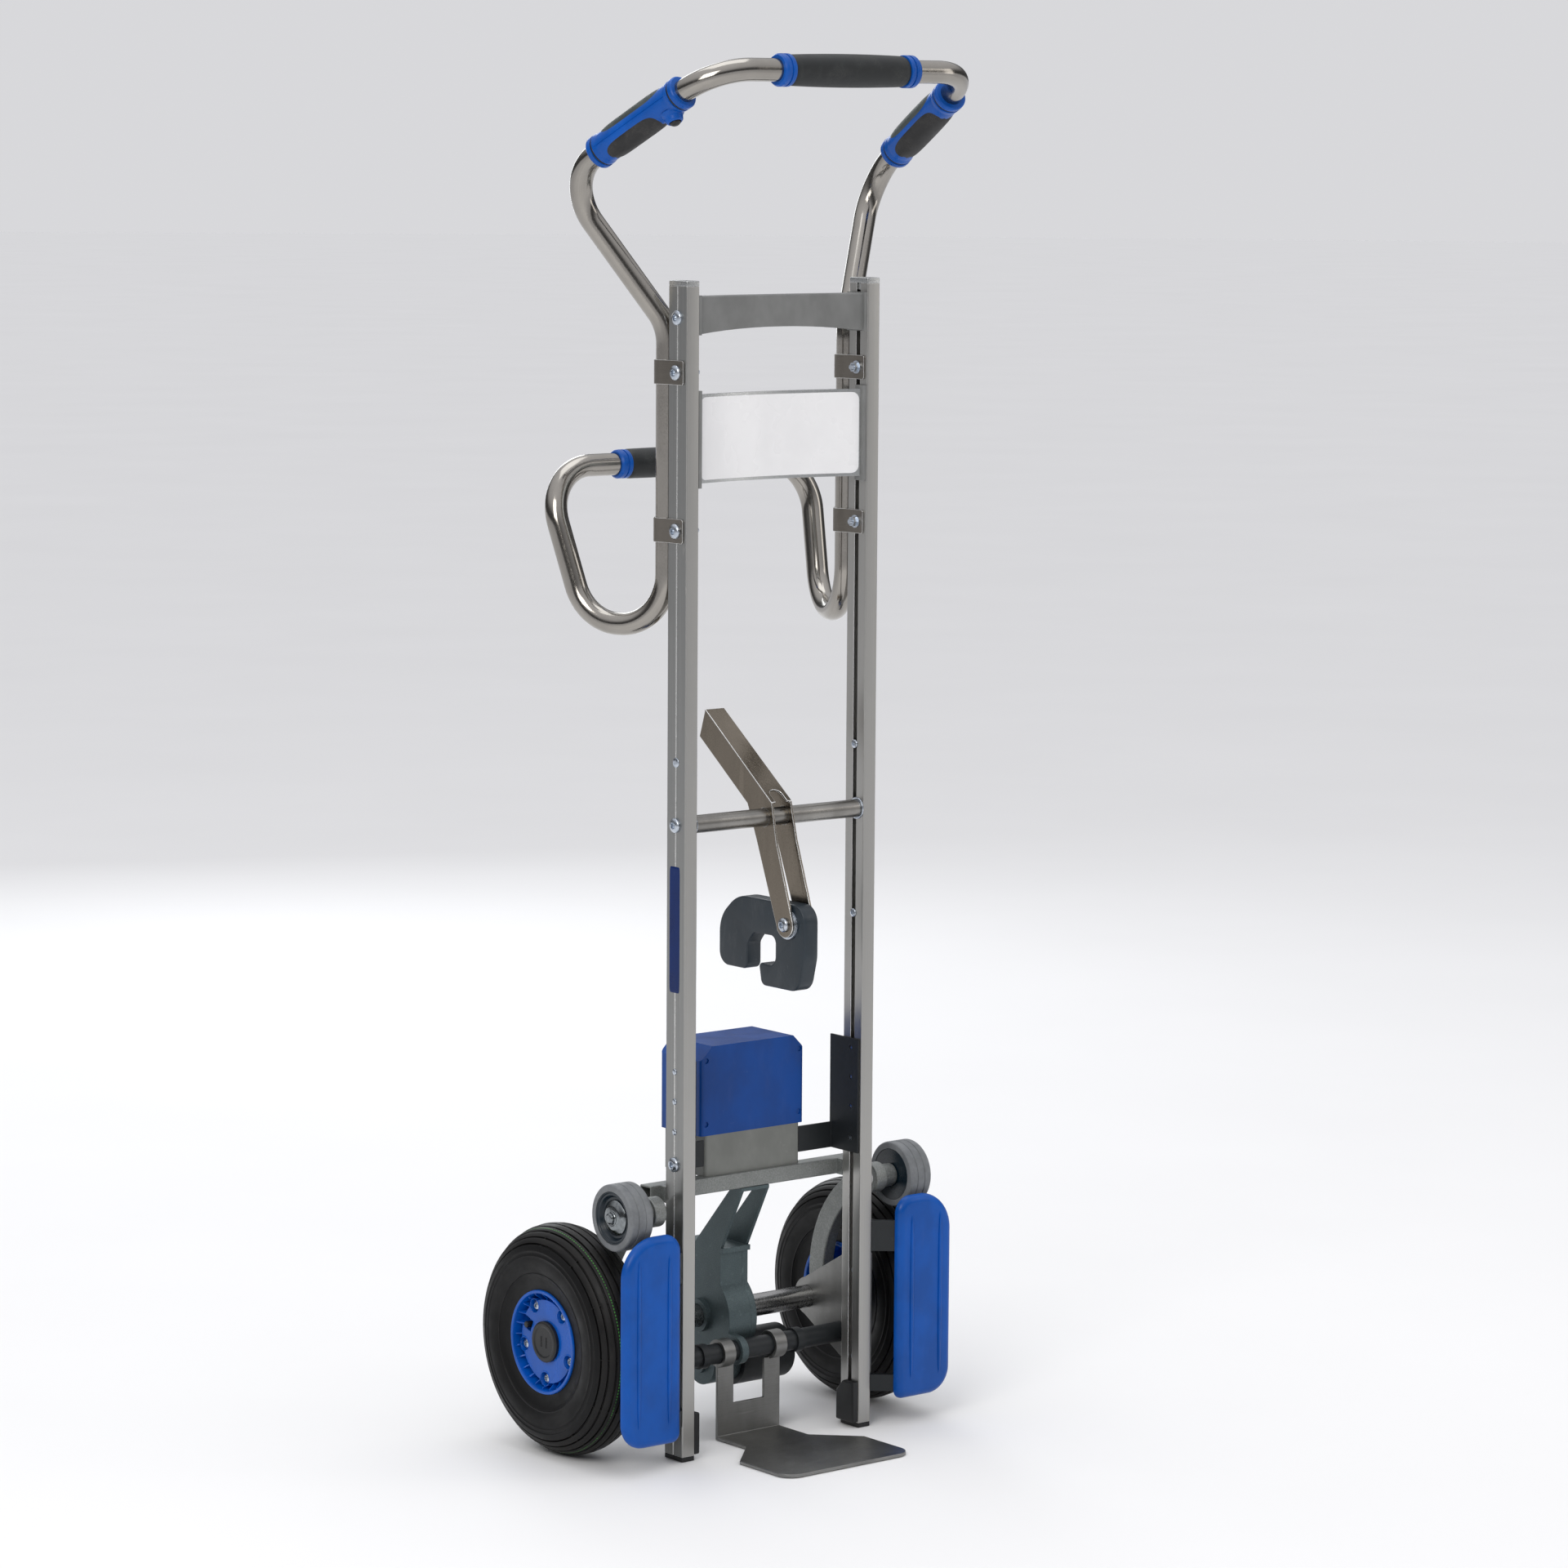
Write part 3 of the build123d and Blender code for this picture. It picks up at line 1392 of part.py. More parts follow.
# Keg lever: a bent sheet channel with two straps below the cross tube
strap_rise = Vector(strap_front[0] - hook_pivot_y, strap_front[1] - hook_pivot_z)
strap_unit = strap_rise.normalized()
strap_left = (
    hook_pivot_y - strap_unit.Y * strap_end_radius, hook_pivot_z + strap_unit.X * strap_end_radius
)
strap_right = (
    hook_pivot_y + strap_unit.Y * strap_end_radius, hook_pivot_z - strap_unit.X * strap_end_radius
)
lever_outline = [
    lever_tip, lever_knee, strap_front, strap_left, strap_right, strap_back, lever_heel, lever_tip_back
]
web_run = Vector(lever_tip[0] - lever_knee[0], lever_tip[1] - lever_knee[1])
web_unit = web_run.normalized()
web_inward = (web_unit.Y * lever_sheet, -web_unit.X * lever_sheet)
with BuildPart() as keg_lever:
    for side in side_signs:
        cheek = (side * (lever_half - lever_sheet), side * lever_half)
        slab(lever_outline, cheek)
        rod(cheek, hook_pivot_y, hook_pivot_z, strap_end_radius)
    slab(
        [
            lever_tip, lever_knee,
            (lever_knee[0] + web_inward[0], lever_knee[1] + web_inward[1]),
            (lever_tip[0] + web_inward[0], lever_tip[1] + web_inward[1]),
        ],
        (-lever_half, lever_half),
    )
    window_plane = Plane(
        origin=(0, lever_knee[0], lever_knee[1]),
        x_dir=(1, 0, 0),
        z_dir=(0, -web_unit.Y, web_unit.X),
    )
    with BuildSketch(window_plane) as knee_window:
        with Locations((0, 0)):
            SlotCenterToCenter(2 * lever_window_half + 8, 2 * lever_window_half, rotation=90)
    extrude(knee_window.sketch, amount=2 * lever_sheet, both=True, mode=Mode.SUBTRACT)
    lever_drill = (-lever_half - 1, lever_half + 1)
    rod(lever_drill, cross_tube_y, cross_tube_z, cross_tube_radius + run_gap, mode=Mode.SUBTRACT)
    rod(lever_drill, hook_pivot_y, hook_pivot_z, hook_bolt_radius + thread_gap, mode=Mode.SUBTRACT)
finish(keg_lever, "keg_lever")

# Keg hook: thick plate that reaches over the rim and curls under it, as (y, z, corner radius)
hook_corners = [
    (-53.5, 618.5, 20), (-53.5, 560.0, 40), (-44.0, 521.5, 18), (22.0, 521.5, 8), (27.0, 547.0, 4.5),
    (-2.5, 545.0, 11), (-2.5, 579.5, 9), (36.0, 579.0, 8), (47.0, 566.0, 8), (47.0, 536.0, 8),
    (98.0, 536.0, 16), (98.0, 584.0, 22), (72.0, 610.0, 30), (38.0, 618.5, 60),
]
with BuildPart() as keg_hook:
    with BuildSketch(side_plane(-hook_half)) as hook_section:
        with BuildLine():
            FilletPolyline(
                *[corner[:2] for corner in hook_corners],
                radius=[corner[2] for corner in hook_corners],
                close=True,
            )
        make_face()
    extrude(hook_section.sketch, amount=2 * hook_half)
    chamfer(
        keg_hook.faces().sort_by(Axis.X)[0].edges() + keg_hook.faces().sort_by(Axis.X)[-1].edges(),
        length=1,
    )
    rod(
        (-hook_half - 1, hook_half + 1),
        hook_pivot_y,
        hook_pivot_z,
        hook_bolt_radius + run_gap,
        mode=Mode.SUBTRACT,
    )
finish(keg_hook, "keg_hook")

# Hook bolt with its nut and the two washers beside the hook
with BuildPart() as hook_bolt:
    pan_bolt(
        -lever_half, hook_pivot_y, hook_pivot_z, -1, 2 * lever_half + 8, hook_bolt_radius, 8.0, 4.6
    )
    rod((lever_half, lever_half + 6.5), hook_pivot_y, hook_pivot_z, 7.2, hook_bolt_radius + thread_gap)
    for side in side_signs:
        rod(
            (side * (hook_half + thread_gap), side * (lever_half - lever_sheet - 0.01)),
            hook_pivot_y,
            hook_pivot_z,
            washer_radius,
            hook_bolt_radius + thread_gap,
        )
finish(hook_bolt, "hook_bolt")
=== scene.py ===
import logging
import math
from collections.abc import Callable
from dataclasses import dataclass
from enum import Enum

import bmesh
import bpy
import numpy as np
from mathutils import Matrix


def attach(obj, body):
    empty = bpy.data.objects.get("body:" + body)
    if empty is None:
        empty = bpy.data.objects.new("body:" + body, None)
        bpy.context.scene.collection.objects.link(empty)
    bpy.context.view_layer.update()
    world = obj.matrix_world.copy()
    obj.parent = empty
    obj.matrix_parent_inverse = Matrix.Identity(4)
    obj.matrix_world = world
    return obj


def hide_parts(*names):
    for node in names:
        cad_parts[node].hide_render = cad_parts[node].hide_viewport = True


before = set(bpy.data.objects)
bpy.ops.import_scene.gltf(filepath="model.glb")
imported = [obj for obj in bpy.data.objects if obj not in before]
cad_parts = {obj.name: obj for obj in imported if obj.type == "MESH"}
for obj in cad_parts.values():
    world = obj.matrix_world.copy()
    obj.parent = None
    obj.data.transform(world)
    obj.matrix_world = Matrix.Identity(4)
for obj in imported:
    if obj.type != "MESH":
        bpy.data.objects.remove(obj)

# Looks of the powered keg trolley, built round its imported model.
# Sizes in the classes are millimetres in the model's frame; meshes are metres.

MM = 0.001
LOG = logging.getLogger("keg_trolley")

# What a shader socket takes: another node's output, a number or a colour
Source = bpy.types.NodeSocket | float | tuple


class Side(Enum):
    """Side of the trolley, seen from the load."""

    LEFT = -1
    RIGHT = 1

    @property
    def word(self) -> str:
        """Lower-case name used in node and piece names."""
        return self.name.lower()


# Shapes: every function returns whole arrays of points in millimetres


@dataclass
class Patch:
    """A grid of points, rows by columns, that becomes part of a mesh.

    ring joins the last column to the first, loop joins the last row to the first,
    and capped closes the first and last rows with one flat face each.
    """

    points: np.ndarray
    ring: bool = True
    loop: bool = False
    capped: bool = False
    finish: int = 0

    def lengths(self) -> tuple[np.ndarray, np.ndarray]:
        """Mean distance run along the rows and along the columns, in metres.

        Returns:
            Two rising arrays, one entry longer than the grid's sides.
        """
        grid = self.points * MM
        down = np.linalg.norm(np.roll(grid, -1, axis=0) - grid, axis=2).mean(axis=1)
        across = np.linalg.norm(np.roll(grid, -1, axis=1) - grid, axis=2).mean(axis=0)
        return np.append(0.0, np.cumsum(down)), np.append(0.0, np.cumsum(across))

    def faces(self) -> tuple[np.ndarray, np.ndarray, list[list[int]]]:
        """Quads of the grid with their UV corners, and the cap faces.

        Returns:
            Quads as index rows, UV corners in the same order, and the caps.
        """
        rows, columns = self.points.shape[:2]
        row_steps = rows if self.loop else rows - 1
        column_steps = columns if self.ring else columns - 1
        r, c = np.meshgrid(np.arange(row_steps), np.arange(column_steps), indexing="ij")
        r, c = r.ravel(), c.ravel()
        corner_rows = np.stack([r, r, r + 1, r + 1], axis=1)
        corner_columns = np.stack([c, c + 1, c + 1, c], axis=1)
        quads = (corner_rows % rows) * columns + corner_columns % columns
        down, across = self.lengths()
        uv = np.stack([down[corner_rows], across[corner_columns]], axis=2)
        caps = []
        if self.capped:
            last = (rows - 1) * columns
            caps = [list(range(columns - 1, -1, -1)), list(range(last, last + columns))]
        if self.volume(quads, caps) < 0:
            quads, uv = quads[:, ::-1], uv[:, ::-1]
            caps = [cap[::-1] for cap in caps]
        return quads, uv, caps

    def volume(self, quads: np.ndarray, caps: list[list[int]]) -> float:
        """Signed volume of the closed grid: positive where its faces point outwards.

        Args:
            quads: index rows of the quads.
            caps: index lists of the cap faces.

        Returns:
            Six times the signed volume, in cubic millimetres.
        """
        points = self.points.reshape(-1, 3) - self.points.reshape(-1, 3).mean(axis=0)
        fans = [np.array([[cap[0]] * (len(cap) - 2), cap[1:-1], cap[2:]]).T for cap in caps]
        triangles = np.concatenate([quads[:, [0, 1, 2]], quads[:, [0, 2, 3]], *fans])
        a, b, c = (points[triangles[:, k]] for k in range(3))
        return float(np.einsum("ij,ij->", a, np.cross(b, c)))


def unit(vector: np.ndarray) -> np.ndarray:
    """Vectors scaled to length one, along the last axis."""
    return vector / np.linalg.norm(vector, axis=-1, keepdims=True)


def full_turn(count: int) -> np.ndarray:
    """Evenly spaced angles of one whole turn, in radians, without its end."""
    return np.linspace(0, 2 * math.pi, count, endpoint=False)


def signed_power(value: np.ndarray, power: float) -> np.ndarray:
    """Size of a value raised to a power, with the value's sign kept."""
    return np.sign(value) * np.abs(value) ** power


def blended(level: np.ndarray, other: float, share: np.ndarray) -> np.ndarray:
    """The level where share is 0, the other where it is 1, and between them a mix."""
    return level * (1 - share) + other * share


def ease(value: np.ndarray, low: float, high: float) -> np.ndarray:
    """Smooth step from 0 at low to 1 at high: 3 t squared less 2 t cubed."""
    t = np.clip((value - low) / (high - low), 0.0, 1.0)
    return t * t * (3 - 2 * t)


def rounded(corners: list, radii: float | list, closed: bool = False,
            steps: int = 8) -> np.ndarray:
    """Line through corner points with each corner turned into an arc.

    An arc of radius r touches both runs at r over the tangent of half the corner's
    angle from it, and its points turn evenly from one run's normal to the other's.

    Args:
        corners: corner points in two or three dimensions.
        radii: one radius for all corners, or one for each.
        closed: whether the last corner joins the first.
        steps: spans in each arc.

    Returns:
        Points along the rounded line.
    """
    points = np.asarray(corners, float)
    count = len(points)
    radii = np.broadcast_to(np.asarray(radii, float), (count,))
    line = []
    for k in range(count):
        if not closed and k in (0, count - 1) or radii[k] <= 0:
            line.append(points[k][None])
            continue
        before = unit(points[k - 1] - points[k])
        after = unit(points[(k + 1) % count] - points[k])
        half = math.acos(float(np.clip(before @ after, -1, 1))) / 2
        middle = unit(before + after)
        centre = points[k] + middle * radii[k] / math.sin(half)
        start = points[k] + before * radii[k] / math.tan(half) - centre
        end = points[k] + after * radii[k] / math.tan(half) - centre
        turn = math.pi - 2 * half
        t = np.linspace(0.0, 1.0, steps + 1)[:, None]
        swing = np.sin((1 - t) * turn) * start + np.sin(t * turn) * end
        line.append(centre + swing / math.sin(turn))
    return np.concatenate(line)


def resampled(line: np.ndarray, spacing: float) -> np.ndarray:
    """Points along an open line at even distances.

    Args:
        line: points of the line.
        spacing: distance wanted between the new points.

    Returns:
        The new points, with both ends kept.
    """
    run = np.append(0.0, np.cumsum(np.linalg.norm(np.diff(line, axis=0), axis=1)))
    places = np.linspace(0.0, run[-1], max(2, int(round(run[-1] / spacing)) + 1))
    return np.stack([np.interp(places, run, line[:, k]) for k in range(line.shape[1])], axis=1)


def round_section(radius: float, count: int) -> np.ndarray:
    """Points of a circle, as (sideways, up)."""
    turn = full_turn(count)
    return radius * np.stack([np.cos(turn), np.sin(turn)], axis=1)


def carried(path: np.ndarray, section: np.ndarray, reference: np.ndarray) -> np.ndarray:
    """A section carried square to a path.

    Each row is the path point plus the section's first number along the tangent
    crossed with the reference, and its second along the third axis.

    Args:
        path: points along the path.
        section: points as (sideways, up), one set or one for each path point.
        reference: a direction that the path never runs along.

    Returns:
        Grid of points, one row for each path point.
    """
    tangent = unit(np.gradient(path, axis=0))
    sideways = unit(np.cross(tangent, reference))
    upwards = np.cross(sideways, tangent)
    section = np.broadcast_to(section, (len(path), *section.shape[-2:]))
    aside, above = section[..., :1], section[..., 1:]
    return path[:, None] + aside * sideways[:, None] + above * upwards[:, None]


@dataclass(frozen=True)
class Turning:
    """A lathe axis: origin, direction, and the direction of angle zero."""

    origin: tuple
    direction: tuple
    zero: tuple = (0.0, 0.0, 1.0)

    def axes(self) -> tuple[np.ndarray, np.ndarray, np.ndarray]:
        """The axis and the two directions square to it.

        Returns:
            Unit vectors along the axis, at angle zero and at a quarter turn.
        """
        along = unit(np.asarray(self.direction, float))
        zero = np.asarray(self.zero, float)
        zero = unit(zero - along * (zero @ along))
        return along, zero, np.cross(along, zero)

    def place(self, distance: np.ndarray, radius: np.ndarray, turn: np.ndarray) -> np.ndarray:
        """Points at a distance along the axis, a radius from it and a turn round it.

        Args:
            distance: distances along the axis.
            radius: distances from the axis.
            turn: angles in radians.

        Returns:
            Points with one more dimension than the arguments.
        """
        along, zero, quarter = self.axes()
        distance, radius, turn = np.broadcast_arrays(distance, radius, turn)
        return (
            np.asarray(self.origin, float)
            + distance[..., None] * along
            + (radius * np.cos(turn))[..., None] * zero
            + (radius * np.sin(turn))[..., None] * quarter
        )

    def turned(self, profile: np.ndarray, count: int = 72) -> np.ndarray:
        """A profile of (distance, radius) points carried round the axis.

        Args:
            profile: the profile's points.
            count: columns round the axis.

        Returns:
            Grid of points, one row for each profile point.
        """
        return self.place(profile[:, :1], profile[:, 1:], full_turn(count)[None])


def inset(outline: np.ndarray, depth: float) -> np.ndarray:
    """A closed outline moved inwards, square to its own tangent.

    Args:
        outline: points of the outline, in two dimensions.
        depth: how far each point moves.

    Returns:
        The moved points.
    """
    tangent = unit(np.roll(outline, -1, axis=0) - np.roll(outline, 1, axis=0))
    inward = np.stack([-tangent[:, 1], tangent[:, 0]], axis=1)
    x, y = outline.T
    turning = np.sum(x * np.roll(y, -1) - y * np.roll(x, -1))
    return outline + inward * depth * (1.0 if turning > 0 else -1.0)


def soft_bar(centre: np.ndarray, half: tuple, axes: tuple, power: float = 4.0,
             rows: int = 9, count: int = 32) -> Patch:
    """Low rounded bar: a superellipse outline that rises to a flat crown.

    A ring of points that lies s of the way out to the outline stands off the middle
    plane by the half height times the power-th root of one less s to the power.

    Args:
        centre: middle of the bar.
        half: half length, half width and half height.
        axes: unit directions of the three sizes.
        power: squareness of the outline and of the crown.
        rows: rows from one crown to the other.
        count: columns round the outline.

    Returns:
        Closed patch.
    """
    turn = full_turn(count)
    lean = np.linspace(-math.pi / 2, math.pi / 2, rows)
    out = np.abs(np.cos(lean)) ** (2 / power)
    height = signed_power(np.sin(lean), 2 / power)
    a = signed_power(np.cos(turn), 2 / power) * half[0]
    b = signed_power(np.sin(turn), 2 / power) * half[1]
    first, second, third = (np.asarray(axis, float) for axis in axes)
    flat = a[:, None] * first + b[:, None] * second
    points = np.asarray(centre, float) + out[:, None, None] * flat[None]
    return Patch(points + (height * half[2])[:, None, None] * third)


# Finishes


class Tree:
    """Node tree of one finish, with short calls for the nodes it is made of."""

    def __init__(self, name: str, on_uv: bool = False) -> None:
        """Start an empty material.

        Args:
            name: material name.
            on_uv: read the piece's own UV map, in metres, and not object space.
        """
        self.material = bpy.data.materials.new(name)
        self.material.use_nodes = True
        self.nodes = self.material.node_tree.nodes
        self.links = self.material.node_tree.links
        self.shader = self.nodes["Principled BSDF"]
        spaces = self.nodes.new("ShaderNodeTexCoord")
        self.space = spaces.outputs["UV" if on_uv else "Object"]
        self.relief = None

    def node(self, kind: str, **settings: str) -> bpy.types.Node:
        """Add a node.

        Args:
            kind: the node's type name.
            settings: values of the node's own properties.

        Returns:
            The new node.
        """
        made = self.nodes.new(kind)
        for key, value in settings.items():
            setattr(made, key, value)
        return made

    def join(self, source: Source, socket: bpy.types.NodeSocket) -> None:
        """Put a number, a colour or another node's output into a socket.

        Args:
            source: what goes in.
            socket: the input that takes it.
        """
        if isinstance(source, bpy.types.NodeSocket):
            self.links.new(source, socket)
        else:
            socket.default_value = source

    def shade(self, **inputs: Source) -> None:
        """Set the shader's inputs.

        Args:
            inputs: what goes in, named as the input in lower case with underscores.
        """
        for key, value in inputs.items():
            label = key.replace("_", " ").title().replace("Ior", "IOR")
            self.join(value, self.shader.inputs[label])

    def noise(self, scale: float | tuple, detail: float = 3.0,
              rough: float = 0.55) -> bpy.types.NodeSocket:
        """Noise between 0 and 1.

        Args:
            scale: cells in a metre, along each axis or the same along all.
            detail: octaves.
            rough: share kept by each finer octave.

        Returns:
            The noise socket.
        """
        stretch = self.node("ShaderNodeMapping")
        stretch.inputs["Scale"].default_value = np.broadcast_to(scale, 3).tolist()
        self.links.new(self.space, stretch.inputs["Vector"])
        made = self.node("ShaderNodeTexNoise")
        made.inputs["Scale"].default_value = 1.0
        made.inputs["Detail"].default_value = detail
        made.inputs["Roughness"].default_value = rough
        self.links.new(stretch.outputs["Vector"], made.inputs["Vector"])
        return made.outputs["Fac"]

    def cells(self, scale: float, feature: str = "F1") -> bpy.types.NodeSocket:
        """Distance in a pattern of cells.

        Args:
            scale: cells in a metre.
            feature: which distance is read.

        Returns:
            The distance socket.
        """
        made = self.node("ShaderNodeTexVoronoi", feature=feature)
        made.inputs["Scale"].default_value = scale
        self.links.new(self.space, made.inputs["Vector"])
        return made.outputs["Distance"]

    def axis(self, index: int) -> bpy.types.NodeSocket:
        """One coordinate of the pattern's space, in metres.

        Args:
            index: 0, 1 or 2.

        Returns:
            The coordinate's socket.
        """
        split = self.node("ShaderNodeSeparateXYZ")
        self.links.new(self.space, split.inputs[0])
        return split.outputs[index]

    def sum(self, operation: str, first: Source, second: Source = 0.0) -> bpy.types.NodeSocket:
        """One step of arithmetic.

        Args:
            operation: the step's name.
            first: first number.
            second: second number, where the step takes two.

        Returns:
            The result's socket.
        """
        made = self.node("ShaderNodeMath", operation=operation)
        for socket, source in zip(made.inputs, (first, second)):
            self.join(source, socket)
        return made.outputs[0]

    def span(self, source: Source, low: float, high: float, start: float = 0.0,
             end: float = 1.0) -> bpy.types.NodeSocket:
        """A number carried smoothly from one span to another, and held beyond it.

        Args:
            source: the number.
            low: where the first span starts.
            high: where the first span ends.
            start: what low becomes.
            end: what high becomes.

        Returns:
            The result's socket.
        """
        made = self.node("ShaderNodeMapRange", interpolation_type="SMOOTHSTEP")
        for socket, value in zip(made.inputs, (source, low, high, start, end)):
            self.join(value, socket)
        return made.outputs[0]

    def tint(self, share: Source, first: Source, second: Source) -> bpy.types.NodeSocket:
        """Colour between two others.

        Args:
            share: how far it lies from the first to the second.
            first: colour at share 0.
            second: colour at share 1.

        Returns:
            The colour's socket.
        """
        made = self.node("ShaderNodeMix", data_type="RGBA")
        self.join(share, made.inputs["Factor"])
        self.join(first, made.inputs[6])
        self.join(second, made.inputs[7])
        return made.outputs[2]

    def emboss(self, height: Source, distance: float, strength: float) -> None:
        """Add a relief on top of the ones before.

        Args:
            height: height of the surface, from 0 to 1.
            distance: depth of the relief, in metres.
            strength: how much of it is seen.
        """
        made = self.node("ShaderNodeBump")
        made.inputs["Distance"].default_value = distance
        made.inputs["Strength"].default_value = strength
        self.join(height, made.inputs["Height"])
        if self.relief is not None:
            self.links.new(self.relief, made.inputs["Normal"])
        self.relief = made.outputs["Normal"]
        self.links.new(self.relief, self.shader.inputs["Normal"])


def colour(red: float, green: float, blue: float) -> tuple:
    """Linear colour with full opacity.

    Args:
        red: display value of 0 to 255.
        green: display value of 0 to 255.
        blue: display value of 0 to 255.

    Returns:
        Red, green, blue and opacity, from 0 to 1.
    """
    shares = np.array([red, green, blue]) / 255
    linear = np.where(shares <= 0.04045, shares / 12.92, ((shares + 0.055) / 1.055) ** 2.4)
    return (*linear.tolist(), 1.0)


def toned(base: tuple, factor: float) -> tuple:
    """The colour made darker or lighter by a factor, held below white."""
    return (*(min(channel * factor, 0.95) for channel in base[:3]), 1.0)


@dataclass(frozen=True)
class Finish:
    """A surface finish: its name, its slot in the record and its colour."""

    name: str
    slot: str
    tone: tuple

    def make(self) -> bpy.types.Material:
        """The finish as a material, made once."""
        return bpy.data.materials.get(f"finish_{self.name}") or self.build().material

    def build(self) -> Tree:
        """Node tree of the finish."""
        raise NotImplementedError


@dataclass(frozen=True)
class BrushedMetal(Finish):
    """Bare metal with fine lines one way, faint stains and long handling scratches."""

    rough: float = 0.35
    lines: tuple = (900.0, 900.0, 9.0)
    depth: float = 0.00002
    stain: float = 0.25
    on_uv: bool = False
    metal: float = 1.0

    def build(self) -> Tree:
        """Line noise drives roughness and relief, and broad noise the stains.

        Returns:
            The finish's node tree.
        """
        tree = Tree(f"finish_{self.name}", self.on_uv)
        lines = tree.noise(self.lines, 4.0, 0.7)
        broad = tree.noise((14.0, 14.0, 5.0), 4.0, 0.6)
        specks = tree.noise(420.0, 2.0, 0.6)
        marks = tree.span(tree.noise(tuple(s * 0.35 for s in self.lines), 2.0, 0.5), 0.66, 0.74)
        stained = tree.tint(
            tree.span(broad, 0.35, 0.7, 0.0, self.stain), self.tone, toned(self.tone, 0.55)
        )
        lined = tree.tint(tree.span(lines, 0.3, 0.75, 0.0, 0.35), stained, toned(self.tone, 1.25))
        tree.shade(
            base_color=tree.tint(tree.sum("MULTIPLY", marks, 0.3), lined, toned(self.tone, 1.5)),
            metallic=self.metal,
            roughness=tree.sum(
                "ADD",
                tree.span(lines, 0.2, 0.8, self.rough * 0.8, self.rough * 1.25),
                tree.span(tree.sum("MULTIPLY", broad, specks), 0.1, 0.5, -0.04, 0.1),
            ),
        )
        tree.emboss(lines, self.depth, 0.5)
        return tree


@dataclass(frozen=True)
class Anodised(Finish):
    """Drawn aluminium with an anodised skin: drawn lines up the rail, a painted highlight line
    beside each groove, painted shade that makes the outer sides darker and cooler, and
    rubbed patches."""

    outer: float = 135.8
    middle: float = 16.2

    def build(self) -> Tree:
        """The outer side, found by its distance across, gets painted shade, and the groove, found
        by y, a painted highlight line.

        Returns:
            The finish's node tree.
        """
        tree = Tree(f"finish_{self.name}")
        drawn = tree.noise((1500.0, 1500.0, 3.0), 5.0, 0.65)
        cloud = tree.noise((9.0, 9.0, 2.2), 3.0, 0.5)
        rub = tree.span(tree.noise((160.0, 160.0, 26.0), 4.0, 0.7), 0.62, 0.72, 0.0, 1.0)
        x, y = tree.axis(0), tree.axis(1)
        across = tree.sum("ABSOLUTE", x)
        # mask of the outer side, where the painted shade and the painted groove highlight go
        skin = tree.span(across, (self.outer - 0.6) * MM, (self.outer - 0.1) * MM)
        # painted shade: the outer side is given a darker, cooler grey than the front
        painted_side_shade = tree.tint(skin, self.tone, colour(138, 139, 138))
        shaded = tree.tint(tree.span(cloud, 0.3, 0.7, 0.0, 0.3), painted_side_shade, toned(self.tone, 0.72))
        lined = tree.tint(tree.span(drawn, 0.35, 0.7, 0.0, 0.22), shaded, toned(self.tone, 1.3))
        # painted highlight: a near-white line beside the outer groove
        gap = tree.sum("ABSOLUTE", tree.sum("SUBTRACT", y, self.middle * MM))
        bright = tree.sum("MULTIPLY", tree.span(gap, 0.0006, 0.0012, 0.9, 0.0), skin)
        tree.shade(
            base_color=tree.tint(
                bright,
                tree.tint(tree.sum("MULTIPLY", rub, 0.22), lined, toned(self.tone, 1.45)),
                colour(214, 216, 216),
            ),
            metallic=0.9,
            roughness=tree.span(tree.sum("ADD", drawn, rub), 0.3, 1.3, 0.3, 0.5),
        )
        tree.emboss(drawn, 0.00002, 0.4)
        return tree


@dataclass(frozen=True)
class Moulded(Finish):
    """Moulded plastic: fine spark grain, soft clouds of tone, light scuffs and dust."""

    rough: float = 0.42
    grain: float = 1500.0
    grain_depth: float = 0.00003
    scuff: float = 0.25
    coat: float = 0.0
    shine: float = 0.45

    def build(self) -> Tree:
        """Fine noise gives the grain, and stretched noise the scuffs.

        Returns:
            The finish's node tree.
        """
        tree = Tree(f"finish_{self.name}")
        cloud = tree.noise((26.0, 26.0, 18.0), 3.0, 0.55)
        grain = tree.noise(self.grain, 2.0, 0.6)
        streak = tree.noise((55.0, 420.0, 90.0), 4.0, 0.7)
        scuffs = tree.span(streak, 0.64, 0.74, 0.0, self.scuff)
        powder = tree.noise((70.0, 70.0, 30.0), 5.0, 0.65)
        dusty = tree.span(powder, 0.5, 0.8, 0.0, self.scuff * 0.5)
        deep = tree.tint(tree.span(cloud, 0.3, 0.7), toned(self.tone, 0.84), toned(self.tone, 1.1))
        scratched = tree.tint(0.35, toned(self.tone, 1.6), (0.6, 0.6, 0.6, 1.0))
        worn = tree.tint(scuffs, deep, scratched)
        dust_tone = tree.tint(0.5, toned(self.tone, 1.2), (0.4, 0.39, 0.37, 1.0))
        tree.shade(
            base_color=tree.tint(dusty, worn, dust_tone),
            roughness=tree.sum(
                "ADD", tree.span(cloud, 0.2, 0.8, self.rough - 0.05, self.rough + 0.06), scuffs
            ),
            coat_weight=self.coat,
            coat_roughness=0.22,
            specular_ior_level=self.shine,
        )
        tree.emboss(grain, self.grain_depth, 0.6)
        return tree


